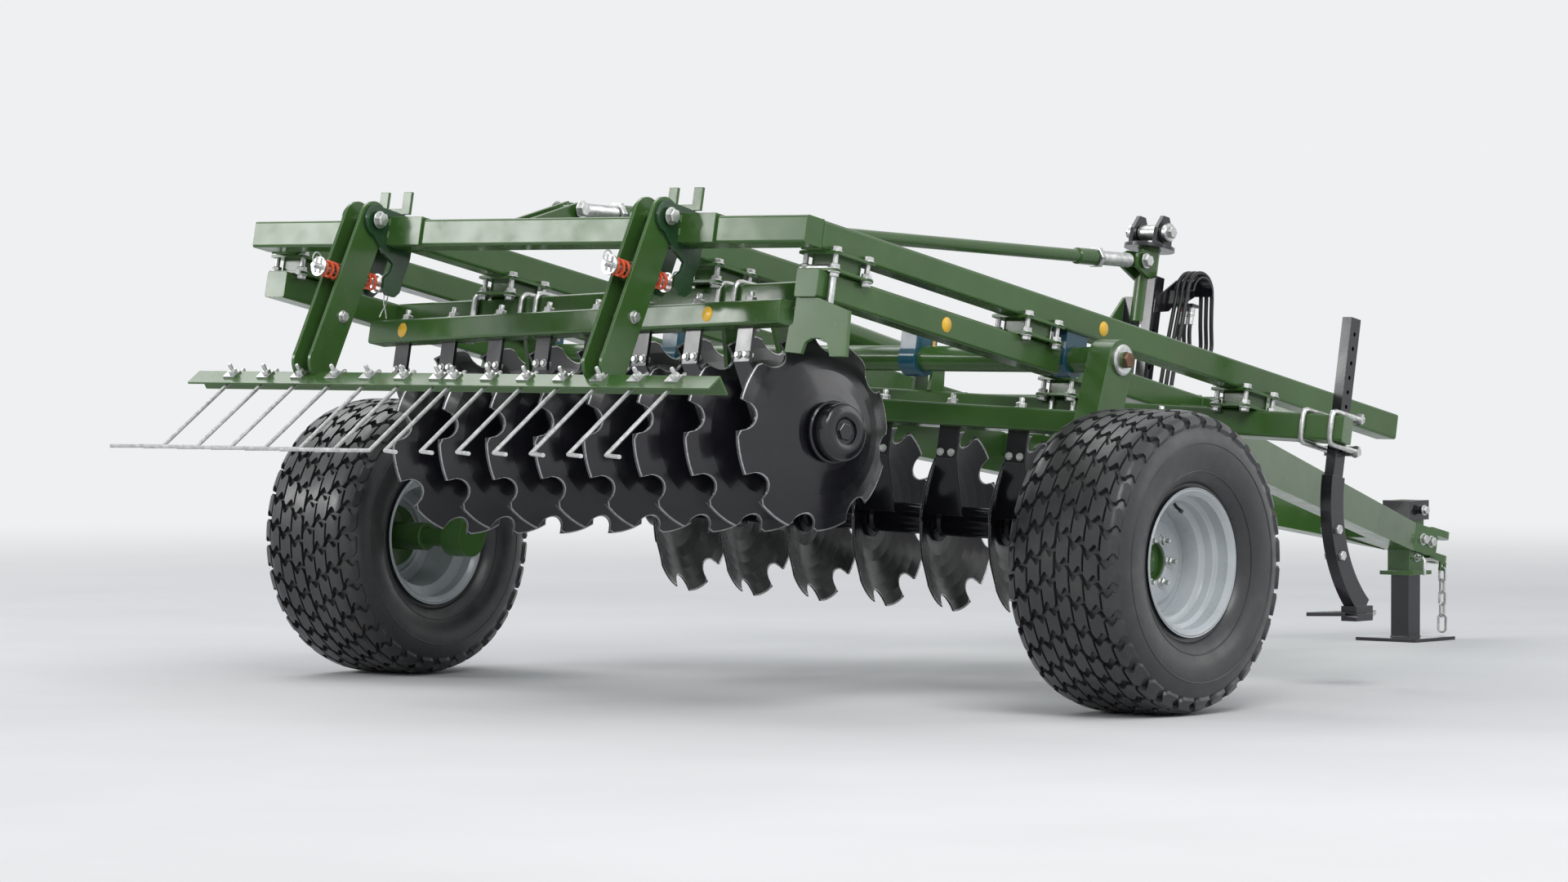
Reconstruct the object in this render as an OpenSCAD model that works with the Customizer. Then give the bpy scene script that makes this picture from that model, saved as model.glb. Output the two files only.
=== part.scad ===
// Trailed offset disc harrow, standing raised on its transport wheels and on its parking stand.
// +X is the way it is towed, +Y its left side, +Z up; the origin is on the ground below the middle.
// The implement frame is drawn level, with its top plane at z = 0, and then set nose-down.

/* [Stance] */
// Nose-down angle of the frame on its stand, degrees
frame_tilt = 11.5; // [9:0.5:13]
// Height of the rear beam's upper rear edge
rear_edge_z = 1424; // [1400:1:1450]
// Distance from the wheel axle back to the rear beam's upper rear edge
rear_edge_back = 1040; // [1000:1:1080]

/* [Frame] */
// Half of the upper frame's width
frame_half = 1074; // [1040:1:1100]
// Outside size of the square frame tubes
tube = 80; // [70:1:90]
// Corner radius of the square tubes
tube_corner = 8; // [4:1:12]
// Length of the side beams
side_len = 2920; // [2850:10:3000]
// Distance of the inner beams' middles from the middle plane
inner_y = 473; // [440:1:473]
// Length of the inner beams
inner_len = 2640; // [2600:10:2660]
// Gap between the upper and the lower frame
frame_gap = 57; // [50:1:65]
// Length of the spacer blocks between the two frames
spacer_len = 120; // [90:5:140]
// Length of the lower side beams
lower_len = 1140; // [1080:5:1150]
// Set-back of the lower side beams from the rear edge
lower_back = 80; // [70:5:100]

/* [Disc gangs] */
// Discs on each gang
disc_count = 8; // [6:1:8]
// Spacing of the discs along their axle
disc_pitch = 230; // [225:1:235]
// Outside radius of a disc
disc_r = 280; // [260:1:285]
// Depth of the dish
dish = 70; // [50:1:75]
// Thickness of a disc
disc_t = 6; // [5:0.5:8]
// Radius of the flat middle of a disc
disc_flat_r = 75; // [68:1:85]
// Notches round a disc
notch_count = 8; // [6:1:10]
// Radius of a notch
notch_r = 46; // [35:1:50]
// Depth of the disc axles below the frame's top plane
gang_drop = 549; // [540:1:560]
// Angle of the rear gang
rear_angle = 10; // [8:0.5:12]
// Angle of the front gang
front_angle = 14; // [12:0.5:15]
// Middle of the rear gang, back from front: distance from the rear edge
rear_gang_x = 506; // [495:1:520]
// Sideways middle of the rear gang
rear_gang_y = -154; // [-160:1:-140]
// Middle of the front gang: distance from the rear edge
front_gang_x = 1890; // [1880:1:1905]
// Sideways middle of the front gang
front_gang_y = -28; // [-40:1:-15]
// Radius of the gang axle
axle_r = 28; // [24:1:30]
// Radius of a spool
spool_r = 47; // [42:1:52]
// Radius of the bearing journal
journal_r = 38; // [34:1:42]
// Outside radius of a gang bearing housing
housing_r = 68; // [62:1:74]
// Width of a gang bearing housing
housing_w = 60; // [50:1:70]
// Set of the rear gang beam behind its axle
rear_beam_set = -93; // [-105:1:-85]
// Set of the front gang beam ahead of its axle
front_beam_set = 77; // [70:1:85]
// Half length of the front gang beam to the right of the gang's middle
front_beam_right = 1400; // [1380:5:1420]
// Half length of the front gang beam to the left of the gang's middle
front_beam_left = 1150; // [1120:5:1180]

/* [Scrapers] */
// Size of the square scraper beams
scraper_beam = 70; // [60:1:75]
// Distance of a scraper beam behind the disc axle
scraper_back = 250; // [245:1:265]
// Depth of the scraper beams' tops below the frame's top plane
scraper_drop = 222; // [217:1:232]
// Distance of a blade's middle from the flat of its disc, along the axle
scraper_set = 116; // [114:1:120]
// Width of a scraper's shank
scraper_w = 70; // [50:1:74]
// Thickness of a scraper
scraper_t = 10; // [6:1:12]
// Length of a scraper's straight shank below its beam
shank_len = 100; // [90:1:110]
// Length of its blade
blade_len = 190; // [150:5:200]
// Lean of the blade towards the axle, degrees
blade_lean = 32; // [28:1:34]
// Clearance between a blade and its disc
blade_gap = 9; // [8:0.5:14]

/* [Wheels] */
// Outside radius of a tyre at its lugs
tyre_r = 437; // [430:1:445]
// Width of a tyre
tyre_w = 404; // [390:1:410]
// Clearance between a wheel arm and its tyre
tyre_gap = 37; // [30:1:60]
// Repeats of the tread round a tyre
lug_count = 18; // [16:1:18]
// Depth of the tread
lug_depth = 12; // [8:1:14]
// Radius of the rim's flange
rim_r = 215; // [210:1:220]
// Width between the rim's flanges
rim_w = 330; // [310:1:345]
// Distance of the rock shaft ahead of the wheel axle, in the frame
rock_x = 1304; // [1295:1:1315]
// Depth of the rock shaft below the frame's top plane
rock_drop = 156; // [150:1:165]
// Radius of the rock shaft
rock_r = 38; // [32:1:42]
// Width of a wheel arm
arm_w = 80; // [70:1:84]
// Depth of a wheel arm from front to back
arm_d = 120; // [110:1:130]
// Clearance between the frame's side and a wheel arm
arm_out = 81; // [70:1:95]

/* [Lift cylinder] */
// Length of the lever on the rock shaft
lever_len = 150; // [130:1:165]
// Lean of the lever to the rear, from the frame's up direction, degrees
lever_lean = 32; // [28:1:36]
// Radius of the cylinder barrel
barrel_r = 40; // [34:1:46]
// Radius of the piston rod
rod_r = 20; // [16:1:24]
// Free length of the rod at rest
rod_out = 200; // [190:5:220]

/* [Drawbar] */
// Distance from the rear edge to the drawbar's apex
apex_x = 4750; // [4700:10:4800]
// Distance from the rear edge to the drawbar legs' rear ends
leg_start = 2440; // [2430:5:2470]
// Sideways place of the legs' rear ends
leg_half = 680; // [660:5:700]
// Height of a leg at its rear end
leg_h = 147; // [130:1:155]
// Height of a leg at the apex
leg_tip_h = 96; // [90:1:110]
// Thickness of a leg
leg_w = 80; // [70:1:90]
// Length of the hitch box
hitch_len = 400; // [380:5:420]
// Half width of the hitch box
hitch_half = 60; // [50:1:70]
// Radius of the towing pin's hole
pin_hole_r = 16; // [12:0.5:20]

/* [Mast and top link] */
// Distance from the rear edge to the mast's middle
mast_x = 3029; // [3020:1:3040]
// Height of the mast's collar above the frame's top plane
collar_z = 545; // [530:5:560]
// Height of the mast's own pin above the frame's top plane
mast_pin_z = 602; // [595:1:615]
// Distance from the rear edge to the top link's front pin
link_front_x = 2960; // [2950:1:2965]
// Height of the top link's front pin above the frame's top plane
link_front_z = 493; // [480:1:500]
// Height of the top link's rear pin above the frame's top plane
link_rear_z = 68; // [60:1:75]
// Distance from the rear edge to the top link's rear pin
link_rear_x = 202; // [190:1:210]
// Radius of the top link
link_r = 21; // [18:1:24]

/* [Tine harrow] */
// Distance of the harrow arms' middles from the middle plane
harrow_y = 565; // [545:5:585]
// Half length of the harrow's tine bar
tine_bar_half = 1011; // [990:1:1030]
// Leg of the tine bar's angle section
angle_leg = 60; // [50:1:65]
// Thickness of the angle section
angle_t = 6; // [5:1:8]
// Radius of a tine's rod
tine_r = 6; // [5:0.5:7]
// Tines on each half of the bar
tines_a_side = 7; // [5:1:7]
// Spacing of the tines
tine_pitch = 138; // [130:1:140]
// Distance of the first tine from the middle plane
first_tine_y = 30; // [25:1:35]

/* [Stand] */
// Distance of the stand ahead of the wheel axle
stand_x = 3560; // [3550:5:3570]
// Outside size of the stand's square sleeve
sleeve_w = 90; // [84:1:94]
// Wall of the sleeve
sleeve_wall = 8; // [6:0.5:9]
// Length of the sleeve
sleeve_len = 192; // [190:1:200]
// Width of the foot
foot_w = 250; // [220:5:260]

/* [Hidden] */
$fn = 48;

green = [0.25, 0.41, 0.20];
black = [0.06, 0.06, 0.07];
zinc = [0.75, 0.76, 0.78];
silver = [0.70, 0.72, 0.74];
rubber = [0.12, 0.12, 0.13];
orange = [0.85, 0.25, 0.12];

// Running clearance of round and square fits
fit = 0.3;
// Clearance between a seated piece and its neighbour
seat = 0.5;
// A length that reaches past any piece
far = 6000;

lower_top = -tube - frame_gap;
lower_bottom = lower_top - tube;
rock_z = -rock_drop;
arm_y = frame_half + arm_out + arm_w / 2;
wheel_y = arm_y + arm_w / 2 + tyre_gap + tyre_w / 2;

// A point of the frame, as the stance puts it over the ground; X counts from the wheel axle
function stance_x(x, z) = -rear_edge_back + x * cos(frame_tilt) + z * sin(frame_tilt);
function stance_z(x, z) = rear_edge_z - x * sin(frame_tilt) + z * cos(frame_tilt);

// Sizes of the tines, in the frame: the run from the bar, then the bent tip
tine_run = [-251, -270];
tine_tip = [-88, -18];
tine_tip_out = 127;
// Where the tine bar's ridge lies
ridge_x = -206;
ridge_z = -498;

// The towing clevis ahead of the hitch box
clevis_len = 120;
clevis_t = 25;
clevis_gap = 60;
clevis_w = 100;
hitch_end = apex_x + 80;

clevis_low = -tube - leg_tip_h - 7;
front_reach = stance_x(hitch_end + clevis_len, clevis_low + clevis_gap + 2 * clevis_t);
rear_reach = stance_x(ridge_x + tine_run[0] + tine_tip[0], ridge_z + tine_run[1] + tine_tip[1])
    - tine_r * sin(atan2(tine_tip_out, -tine_tip[0]));
middle_x = (front_reach + rear_reach) / 2;

module on_ground() translate([-middle_x, 0, 0]) children();

module in_frame() on_ground() translate([-rear_edge_back, 0, rear_edge_z]) rotate([0, frame_tilt, 0]) children();

// A rectangle with round corners, centred, as squares and circles
module rounded_rect(w, h, r) {
    square([w, h - 2 * r], center = true);
    square([w - 2 * r, h], center = true);
    for (x = [-1, 1], y = [-1, 1])
        translate([x * (w / 2 - r), y * (h / 2 - r)]) circle(r, $fn = 24);
}

// A square tube along +X from x = 0, with its top face at z = 0
module tube_x(len, size = tube)
    translate([0, 0, -size / 2]) rotate([90, 0, 90]) linear_extrude(len) rounded_rect(size, size, tube_corner);

// A square tube along Y, centred, with its top face at z = 0
module tube_y(len, size = tube)
    translate([0, len / 2, -size / 2]) rotate([90, 0, 0]) linear_extrude(len) rounded_rect(size, size, tube_corner);

// A plate drawn in the X-Z plane, centred on y = 0
module plate_xz(points, t) translate([0, t / 2, 0]) rotate([90, 0, 0]) linear_extrude(t) polygon(points);

// A straight bar drawn in the X-Z plane; its round ends stand a millimetre proud of its sides
module link_xz(a, b, half, t) {
    run = norm(b - a);
    turn = atan2(b[1] - a[1], b[0] - a[0]);
    waist = half - 1;
    translate([a[0], t / 2, a[1]]) rotate([90, 0, 0]) linear_extrude(t) {
        circle(half);
        rotate(turn) translate([0, -waist]) square([run, 2 * waist]);
        rotate(turn) translate([run, 0]) circle(half);
    }
}

// A cylinder along Y, centred
module cyl_y(r, len) rotate([90, 0, 0]) cylinder(r = r, h = len, center = true);

// Swept rods: a tube of n sides along a list of points
function unit(v) = v / norm(v);
function heading(pts, i) = unit(pts[min(i + 1, len(pts) - 1)] - pts[max(i - 1, 0)]);
function square_to(v, t) = unit(v - (v * t) * t);
function first_normal(t) = square_to(abs(t[2]) < 0.9 ? [0, 0, 1] : [1, 0, 0], t);
function normals(pts) = [for (i = 0, v = first_normal(heading(pts, 0)); i < len(pts);
    i = i + 1, v = i < len(pts) ? square_to(v, heading(pts, i)) : v) v];
module sweep(pts, r, sides) {
    ns = normals(pts);
    rings = [for (i = [0 : len(pts) - 1])
        let (t = heading(pts, i), b = cross(t, ns[i]))
        for (j = [0 : sides - 1])
            pts[i] + r * (cos(360 * j / sides) * ns[i] + sin(360 * j / sides) * b)];
    last = (len(pts) - 1) * sides;
    side_faces = [for (i = [0 : len(pts) - 2], j = [0 : sides - 1], half = [0, 1])
        let (k = (j + 1) % sides, a = i * sides, b = a + sides)
        half == 0 ? [a + j, b + j, b + k] : [a + j, b + k, a + k]];
    start = [for (j = [0 : sides - 1]) j];
    end = [for (j = [sides - 1 : -1 : 0]) last + j];
    polyhedron(rings, concat([start], side_faces, [end]));
}

// UPPER FRAME

module rear_beam() color(green) in_frame()
    translate([tube / 2, 0, 0]) tube_y(2 * frame_half);

module side_beam(side) color(green) in_frame()
    translate([tube, side * (frame_half - tube / 2), 0]) tube_x(side_len);

module inner_beam(side) color(green) in_frame()
    translate([tube, side * inner_y, 0]) tube_x(inner_len);

front_cross_x = tube + inner_len;
module front_cross_beam() color(green) in_frame()
    translate([front_cross_x + tube / 2, 0, 0]) tube_y(2 * (frame_half - tube));

// LOWER FRAME

module lower_beam(side) color(green) in_frame()
    translate([lower_back, side * (frame_half - tube / 2), lower_top]) tube_x(lower_len);

// An arched plate that hangs below the right lower beam's rear end, drawn in the Y-Z plane
module end_bracket() color(green) in_frame() translate([lower_back + 10, -frame_half + tube, 0])
    rotate([90, 0, 90]) linear_extrude(12) difference() {
        polygon([[-2, lower_bottom], [-tube + 2, lower_bottom], [-196, -255], [-206, -384], [-150, -384],
            [-40, -376], [16, -372], [12, -300], [-2, -290]]);
        polygon([[-150, -390], [-132, -345], [-105, -333], [-75, -333], [-52, -345], [-40, -390]]);
    }

// Frame X of a gang beam's middle line at a sideways place
function beam_x(gang_x, gang_y, angle, set, y) = gang_x + set / cos(angle) - (y - gang_y) * tan(angle);
function rear_beam_x(y) = beam_x(rear_gang_x, rear_gang_y, -rear_angle, rear_beam_set, y);
function front_beam_x(y) = beam_x(front_gang_x, front_gang_y, front_angle, front_beam_set, y);

module in_rear_gang() in_frame() translate([rear_gang_x, rear_gang_y, 0]) rotate([0, 0, -rear_angle]) children();
module in_front_gang() in_frame() translate([front_gang_x, front_gang_y, 0]) rotate([0, 0, front_angle]) children();

lower_inside = frame_half - tube;
module rear_gang_beam() color(green) intersection() {
    in_rear_gang() translate([rear_beam_set, 0, lower_top]) tube_y(3 * frame_half);
    in_frame() translate([-far / 2, -lower_inside, -far / 2]) cube([far, 2 * lower_inside, far]);
}

module front_gang_beam() color(green) in_front_gang()
    translate([front_beam_set, (front_beam_left - front_beam_right) / 2, lower_top])
        tube_y(front_beam_left + front_beam_right);

module spacer_at(x, y) translate([x - spacer_len / 2, y - tube / 2, lower_top]) cube([spacer_len, tube, frame_gap]);
module frame_spacers() color(green) in_frame() {
    side_y = frame_half - tube / 2;
    for (side = [-1, 1]) {
        for (x = [lower_back + spacer_len, lower_back + lower_len - spacer_len]) spacer_at(x, side * side_y);
        spacer_at(rear_beam_x(side * inner_y), side * inner_y);
        spacer_at(front_beam_x(side * inner_y), side * inner_y);
        spacer_at(front_beam_x(side * side_y), side * side_y);
    }
}

// SCRAPERS

// How far a blade's edge stands from the flat of its disc, at a depth along the blade
blade_top = -scraper_drop - scraper_beam - shank_len;
function blade_r(q) = norm([scraper_back - q * sin(blade_lean), gang_drop + blade_top - q * cos(blade_lean)]);
function blade_edge(q) = dish_at(min(blade_r(q), disc_r)) + disc_t + blade_gap;

// One scraper: a shank below the beam, and a blade that leans in towards the axle, its edge cut to the dish
blade_steps = 4;
module scraper(toward) {
    side = [scraper_t / 2, 0];
    run = blade_len * [sin(blade_lean), -cos(blade_lean)];
    far_edge = toward * scraper_w / 2;
    near_edge = [for (i = [0 : blade_steps]) let (q = blade_len * i / blade_steps)
        [-toward * (scraper_set - blade_edge(q)), -q * cos(blade_lean)]];
    translate([-scraper_back, 0, blade_top]) intersection() {
        plate_xz([[0, shank_len] - side, -side, run - side, run + side, side, [0, shank_len] + side], 2 * disc_pitch);
        rotate([90, 0, 90]) linear_extrude(3 * blade_len, center = true) polygon(concat(
            [[far_edge, run[1] - 1], [far_edge, shank_len + 1], [near_edge[0][0], shank_len + 1]],
            near_edge, [[near_edge[blade_steps][0], run[1] - 1]]));
    }
}
module scrapers(toward) for (i = [0 : disc_count - 1])
    translate([0, (i - (disc_count - 1) / 2) * disc_pitch + toward * scraper_set, 0]) scraper(toward);

module scraper_beam_with(set, reach_right, reach_left) {
    translate([-scraper_back, (reach_left - reach_right) / 2, -scraper_drop])
        tube_y(reach_left + reach_right, scraper_beam);
    front_face = -scraper_back + scraper_beam / 2;
    for (y = [-3, 0, 3] * disc_pitch) translate([0, y, 0]) plate_xz([
        [set - 35, lower_bottom], [set + 35, lower_bottom], [set + 35, lower_bottom - 15],
        [front_face, -scraper_drop - scraper_beam + 8], [front_face, -scraper_drop - 4]], 12);
}
scraper_half = disc_count / 2 * disc_pitch + 40;
module rear_scraper_beam() color(green) in_rear_gang()
    scraper_beam_with(rear_beam_set, scraper_half - 100, scraper_half + 100);
module front_scraper_beam() color(green) in_front_gang()
    scraper_beam_with(front_beam_set, scraper_half, scraper_half - 30);
module rear_scrapers() color(black) in_rear_gang() scrapers(1);
module front_scrapers() color(black) in_front_gang() scrapers(-1);

// GANGS

bearing_set = 15;
bearings = [-2 * disc_pitch, 2 * disc_pitch];

// Half outline of a dished disc: radius and place along the axle
dish_steps = 6;
dish_run = disc_r - disc_flat_r;
function dish_at(r) = r <= disc_flat_r ? 0 : dish * pow((r - disc_flat_r) / dish_run, 1.6);
dish_radii = [for (i = [0 : dish_steps]) disc_flat_r + dish_run * i / dish_steps];
module disc_blank() rotate_extrude($fn = 72) polygon(concat(
    [[axle_r + fit, 0]], [for (r = dish_radii) [r, dish_at(r)]],
    [for (i = [dish_steps : -1 : 0]) [dish_radii[i], dish_at(dish_radii[i]) + disc_t]],
    [[axle_r + fit, disc_t]]));
module disc() difference() {
    disc_blank();
    for (i = [0 : notch_count - 1]) rotate(360 * i / notch_count)
        translate([disc_r, 0, -dish]) cylinder(r = notch_r, h = 3 * dish);
}

// The gang's discs, with local Z along the axle and the dish open towards +Z
module gang_discs() for (i = [0 : disc_count - 1])
    translate([0, 0, (i - (disc_count - 1) / 2) * disc_pitch]) disc();

// A spool between two discs, with a flange at each end; its foot is listed as radius and distance from the disc
spool_len = disc_pitch - disc_t;
spool_foot = [[66, 0], [66, 8], [spool_r + 5, 16], [spool_r, 26]];
module spool() rotate_extrude() polygon(concat([[0, 0]], spool_foot,
    [for (i = [len(spool_foot) - 1 : -1 : 0]) [spool_foot[i][0], spool_len - spool_foot[i][1]]], [[0, spool_len]]));

module gang_axle() {
    half = (disc_count - 1) / 2 * disc_pitch;
    hub_len = 60;
    difference() {
        union() {
            translate([0, 0, -half - hub_len]) cylinder(r = axle_r, h = 2 * half + 2 * hub_len);
            for (i = [0 : disc_count - 2]) translate([0, 0, -half + i * disc_pitch + disc_t]) spool();
        }
        for (z = bearings) translate([0, 0, z + bearing_set - housing_w / 2 - 2]) difference() {
            cylinder(r = spool_r + 1, h = housing_w + 4);
            translate([0, 0, -1]) cylinder(r = journal_r, h = housing_w + 6);
        }
    }
    for (end = [-1, 1]) {
        face = end < 0 ? -half : half + disc_t;
        for (step = [[75, 14], [62, 44], [36, 66]])
            translate([0, 0, end < 0 ? face - step[1] : face]) cylinder(r = step[0], h = step[1]);
    }
}

// Lays the local Z axis along the gang, pointing left, at the axle's depth
module along_gang() translate([0, 0, -gang_drop]) rotate([-90, 0, 0]) children();
module along_gang_right() translate([0, 0, -gang_drop]) rotate([90, 0, 0]) children();

module rear_discs() color(black) in_rear_gang() along_gang() gang_discs();
module rear_axle() color(black) in_rear_gang() along_gang() gang_axle();
module front_discs() color(black) in_front_gang() along_gang_right() gang_discs();
module front_axle() color(black) in_front_gang() along_gang_right() gang_axle();

module hanger(set) {
    plate = 16;
    foot = 12;
    difference() {
        union() {
            translate([0, plate / 2, 0]) rotate([90, 0, 0]) linear_extrude(plate) polygon([
                [set - 55, lower_bottom - foot], [set + 55, lower_bottom - foot],
                [housing_r - 8, -gang_drop], [8 - housing_r, -gang_drop]]);
            translate([set - 75, -50, lower_bottom - foot]) cube([150, 100, foot]);
            translate([0, 0, -gang_drop]) cyl_y(housing_r, housing_w);
        }
        translate([0, 0, -gang_drop]) cyl_y(journal_r + fit, housing_w + 2);
    }
}
module rear_hangers() color(green) in_rear_gang()
    for (y = bearings) translate([0, y + bearing_set, 0]) hanger(rear_beam_set);
module front_hangers() color(green) in_front_gang()
    for (y = bearings) translate([0, y - bearing_set, 0]) hanger(front_beam_set);

// ROCK SHAFT AND WHEELS

rock_world = [stance_x(rock_x, rock_z), stance_z(rock_x, rock_z)];
arm_angle = atan2(rock_world[0], rock_world[1] - tyre_r);
arm_len = norm([rock_world[0], rock_world[1] - tyre_r]);

module at_rock() on_ground() translate([rock_world[0], 0, rock_world[1]]) children();

bearing_w = 60;
module shaft_bearings() color([0.10, 0.35, 0.36]) in_frame() difference() {
    union() for (y = [-frame_half + tube / 2, -inner_y, inner_y, frame_half - tube / 2])
        translate([rock_x, y, 0]) {
            translate([-rock_r - 12, -bearing_w / 2, rock_z]) cube([2 * (rock_r + 12), bearing_w, -tube - rock_z]);
            translate([0, 0, rock_z]) cyl_y(rock_r + 16, bearing_w);
        }
    translate([rock_x, 0, rock_z]) cyl_y(rock_r + fit, 3 * frame_half);
}

// The shaft, with the fork of its lever standing between two cheeks
cheek_t = 14;
eye_w = 50;
lever_gap = eye_w + 4;
lever_pin_r = 16;
lever_tip = [-lever_len * sin(lever_lean), lever_len * cos(lever_lean)];
module rock_shaft() color(green) in_frame() translate([rock_x, 0, rock_z]) {
    cyl_y(rock_r, 2 * (arm_y - arm_w / 2));
    for (side = [-1, 1]) {
        translate([0, side * (lever_gap + cheek_t) / 2, 0]) link_xz([0, 0], lever_tip, 34, cheek_t);
        translate([lever_tip[0], side * (lever_gap / 2 + cheek_t + 7), lever_tip[1]]) cyl_y(lever_pin_r, 14);
    }
}

spindle_r = 30;
hub_face = 70;
module wheel_arm(side) color(green) at_rock() rotate([0, arm_angle, 0]) {
    translate([0, side * arm_y, 0]) {
        cyl_y(arm_d / 2, arm_w);
        translate([-arm_d / 2, -arm_w / 2, -arm_len]) cube([arm_d, arm_w, arm_len]);
        translate([0, 0, -arm_len]) cyl_y(arm_d / 2, arm_w);
    }
    translate([0, side * (arm_y + arm_w / 2 + 9), 0]) cyl_y(24, 18);
    spindle_end = wheel_y + disc_y + hub_out - 16;
    translate([0, side * (arm_y + spindle_end) / 2, -arm_len]) cyl_y(spindle_r, spindle_end - arm_y);
}

module at_wheel(side) on_ground() translate([0, side * wheel_y, tyre_r]) rotate([-90 * side, 0, 0]) children();

// The tyre's section on one half, from the middle over the shoulder to the bead and back inside, as
// radius, half width, depth of the grooves and set-back of the lugs in pitches
tyre_wall = 16;
bead_r = rim_r - 18;
bead_half = rim_w / 2 - 12 - seat;
tyre_section = [[tyre_r, 8, lug_depth, 0], [tyre_r, tyre_w / 4, lug_depth, 0.45],
    [tyre_r - 7, tyre_w * 0.37, lug_depth, 0.75], [tyre_r - 37, tyre_w / 2 - 10, lug_depth, 1.1],
    [rim_r + 110, tyre_w / 2, 0, 1.1], [bead_r + seat, bead_half, 0, 1.1], [bead_r + seat, bead_half - tyre_wall, 0, 1.1],
    [rim_r + 95, tyre_w / 2 - 18, 0, 1.1], [tyre_r - 38, tyre_w / 2 - 52, 0, 1.1]];
section_len = len(tyre_section);
// Corners of one repeat of the tread, as parts of a pitch: two on the lug and two in the groove
lug_corners = [0, 0.4, 0.5, 0.9];
corner_count = 4 * lug_count;

// A corner on ring i, which counts once round the whole section; the halves' lugs alternate
function tyre_corner(i, j, side) =
    let (half = i < section_len ? 1 : -1, p = tyre_section[i < section_len ? i : 2 * section_len - 1 - i],
        on_lug = (j % 4 < 2) == (half > 0), r = p[0] - (on_lug ? 0 : p[2]),
        a = 360 / lug_count * (floor(j / 4) + lug_corners[j % 4] + side * p[3]))
    [r * cos(a), r * sin(a), half * p[1]];
module tyre(side) color(rubber) at_wheel(side) polyhedron(
    [for (i = [0 : 2 * section_len - 1], j = [0 : corner_count - 1]) tyre_corner(i, j, side)],
    [for (i = [0 : 2 * section_len - 1], j = [0 : corner_count - 1], half = [0, 1])
        let (a = i * corner_count, b = (i + 1) % (2 * section_len) * corner_count, k = (j + 1) % corner_count)
        half == 0 ? [a + j, b + j, b + k] : [a + j, b + k, a + k]]);

// The rim: a stepped barrel, listed as radius and place across, with its disc near the inner side
rim_t = 6;
rim_half = rim_w / 2;
well_r = bead_r - 34;
rim_line = [[rim_r, rim_half], [bead_r, rim_half - 12], [bead_r, rim_half - 47], [bead_r - 15, rim_half - 55],
    [bead_r - 15, rim_half - 83], [well_r, rim_half - 93], [well_r, -rim_half + 60], [bead_r, -rim_half + 44],
    [bead_r, -rim_half + 12], [rim_r, -rim_half]];
disc_y = -rim_half + 95;
disc_plate_t = 8;
centre_hole_r = 56;
function reversed(points) = [for (i = [len(points) - 1 : -1 : 0]) points[i]];
module rim(side) color(silver) at_wheel(side) {
    rotate_extrude($fn = 72) polygon(concat(rim_line, [for (p = reversed(rim_line)) [p[0] - rim_t, p[1]]]));
    translate([0, 0, disc_y]) difference() {
        cylinder(r = well_r - rim_t + 1, h = disc_plate_t);
        translate([0, 0, -1]) cylinder(r = centre_hole_r, h = disc_plate_t + 2);
    }
}

// The hub: its flange lies behind the rim's disc, and its capped barrel shows through the hole
hub_r = 44;
hub_in = 60;
hub_out = 34;
module hub(side) color(green) at_wheel(side) difference() {
    union() {
        translate([0, 0, disc_y - 14]) cylinder(r = 96, h = 14);
        translate([0, 0, disc_y - hub_in]) cylinder(r = hub_r, h = hub_in + hub_out);
    }
    translate([0, 0, disc_y - hub_in - 1]) cylinder(r = spindle_r + fit, h = hub_in + hub_out - 13);
}

// LIFT CYLINDER, from the lever forward to its bracket on the front gang beam

eye_r = 30;
base_pin = [front_beam_x(0), lower_top + 85];
eye_at = [rock_x, rock_z] + lever_tip;
cyl_turn = atan2(base_pin[1] - eye_at[1], base_pin[0] - eye_at[0]);
cyl_len = norm(base_pin - eye_at);
base_pin_r = 15;
base_eye_w = 50;
gland_len = 40;
neck_len = 58;

// Local X runs from the rod's eye towards the barrel's base
module along_cylinder() in_frame() translate([eye_at[0], 0, eye_at[1]]) rotate([0, -cyl_turn, 0]) children();

module cylinder_bracket() color(green) in_frame() {
    ear = 12;
    for (side = [-1, 1]) translate([0, side * (base_eye_w / 2 + 1 + ear / 2), 0])
        plate_xz([[base_pin[0] - 36, lower_top], [base_pin[0] + 36, lower_top],
            [base_pin[0] + 24, base_pin[1] + 24], [base_pin[0] - 24, base_pin[1] + 24]], ear);
    translate([base_pin[0], 0, base_pin[1]]) cyl_y(base_pin_r, base_eye_w + 4 * ear);
}

module lift_barrel() color(green) along_cylinder() {
    barrel_len = cyl_len - rod_out;
    difference() {
        union() {
            translate([rod_out, 0, 0]) rotate([0, 90, 0]) cylinder(r = barrel_r, h = barrel_len - neck_len + 8);
            translate([rod_out, 0, 0]) rotate([0, 90, 0]) cylinder(r = barrel_r + 5, h = gland_len);
            translate([cyl_len, 0, 0]) cyl_y(eye_r, base_eye_w);
            translate([cyl_len - neck_len, -base_eye_w / 2, -eye_r]) cube([neck_len, base_eye_w, 2 * eye_r]);
        }
        translate([rod_out - 1, 0, 0]) rotate([0, 90, 0]) cylinder(r = rod_r + fit, h = barrel_len - neck_len - 12);
        translate([cyl_len, 0, 0]) cyl_y(base_pin_r + fit, base_eye_w + 2);
    }
}

rod_inside = 60;
module lift_rod() color(silver) along_cylinder() difference() {
    union() {
        cyl_y(eye_r, eye_w);
        rotate([0, 90, 0]) cylinder(r = rod_r, h = rod_out + rod_inside);
    }
    cyl_y(lever_pin_r + fit, eye_w + 2);
}

// DRAWBAR

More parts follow.
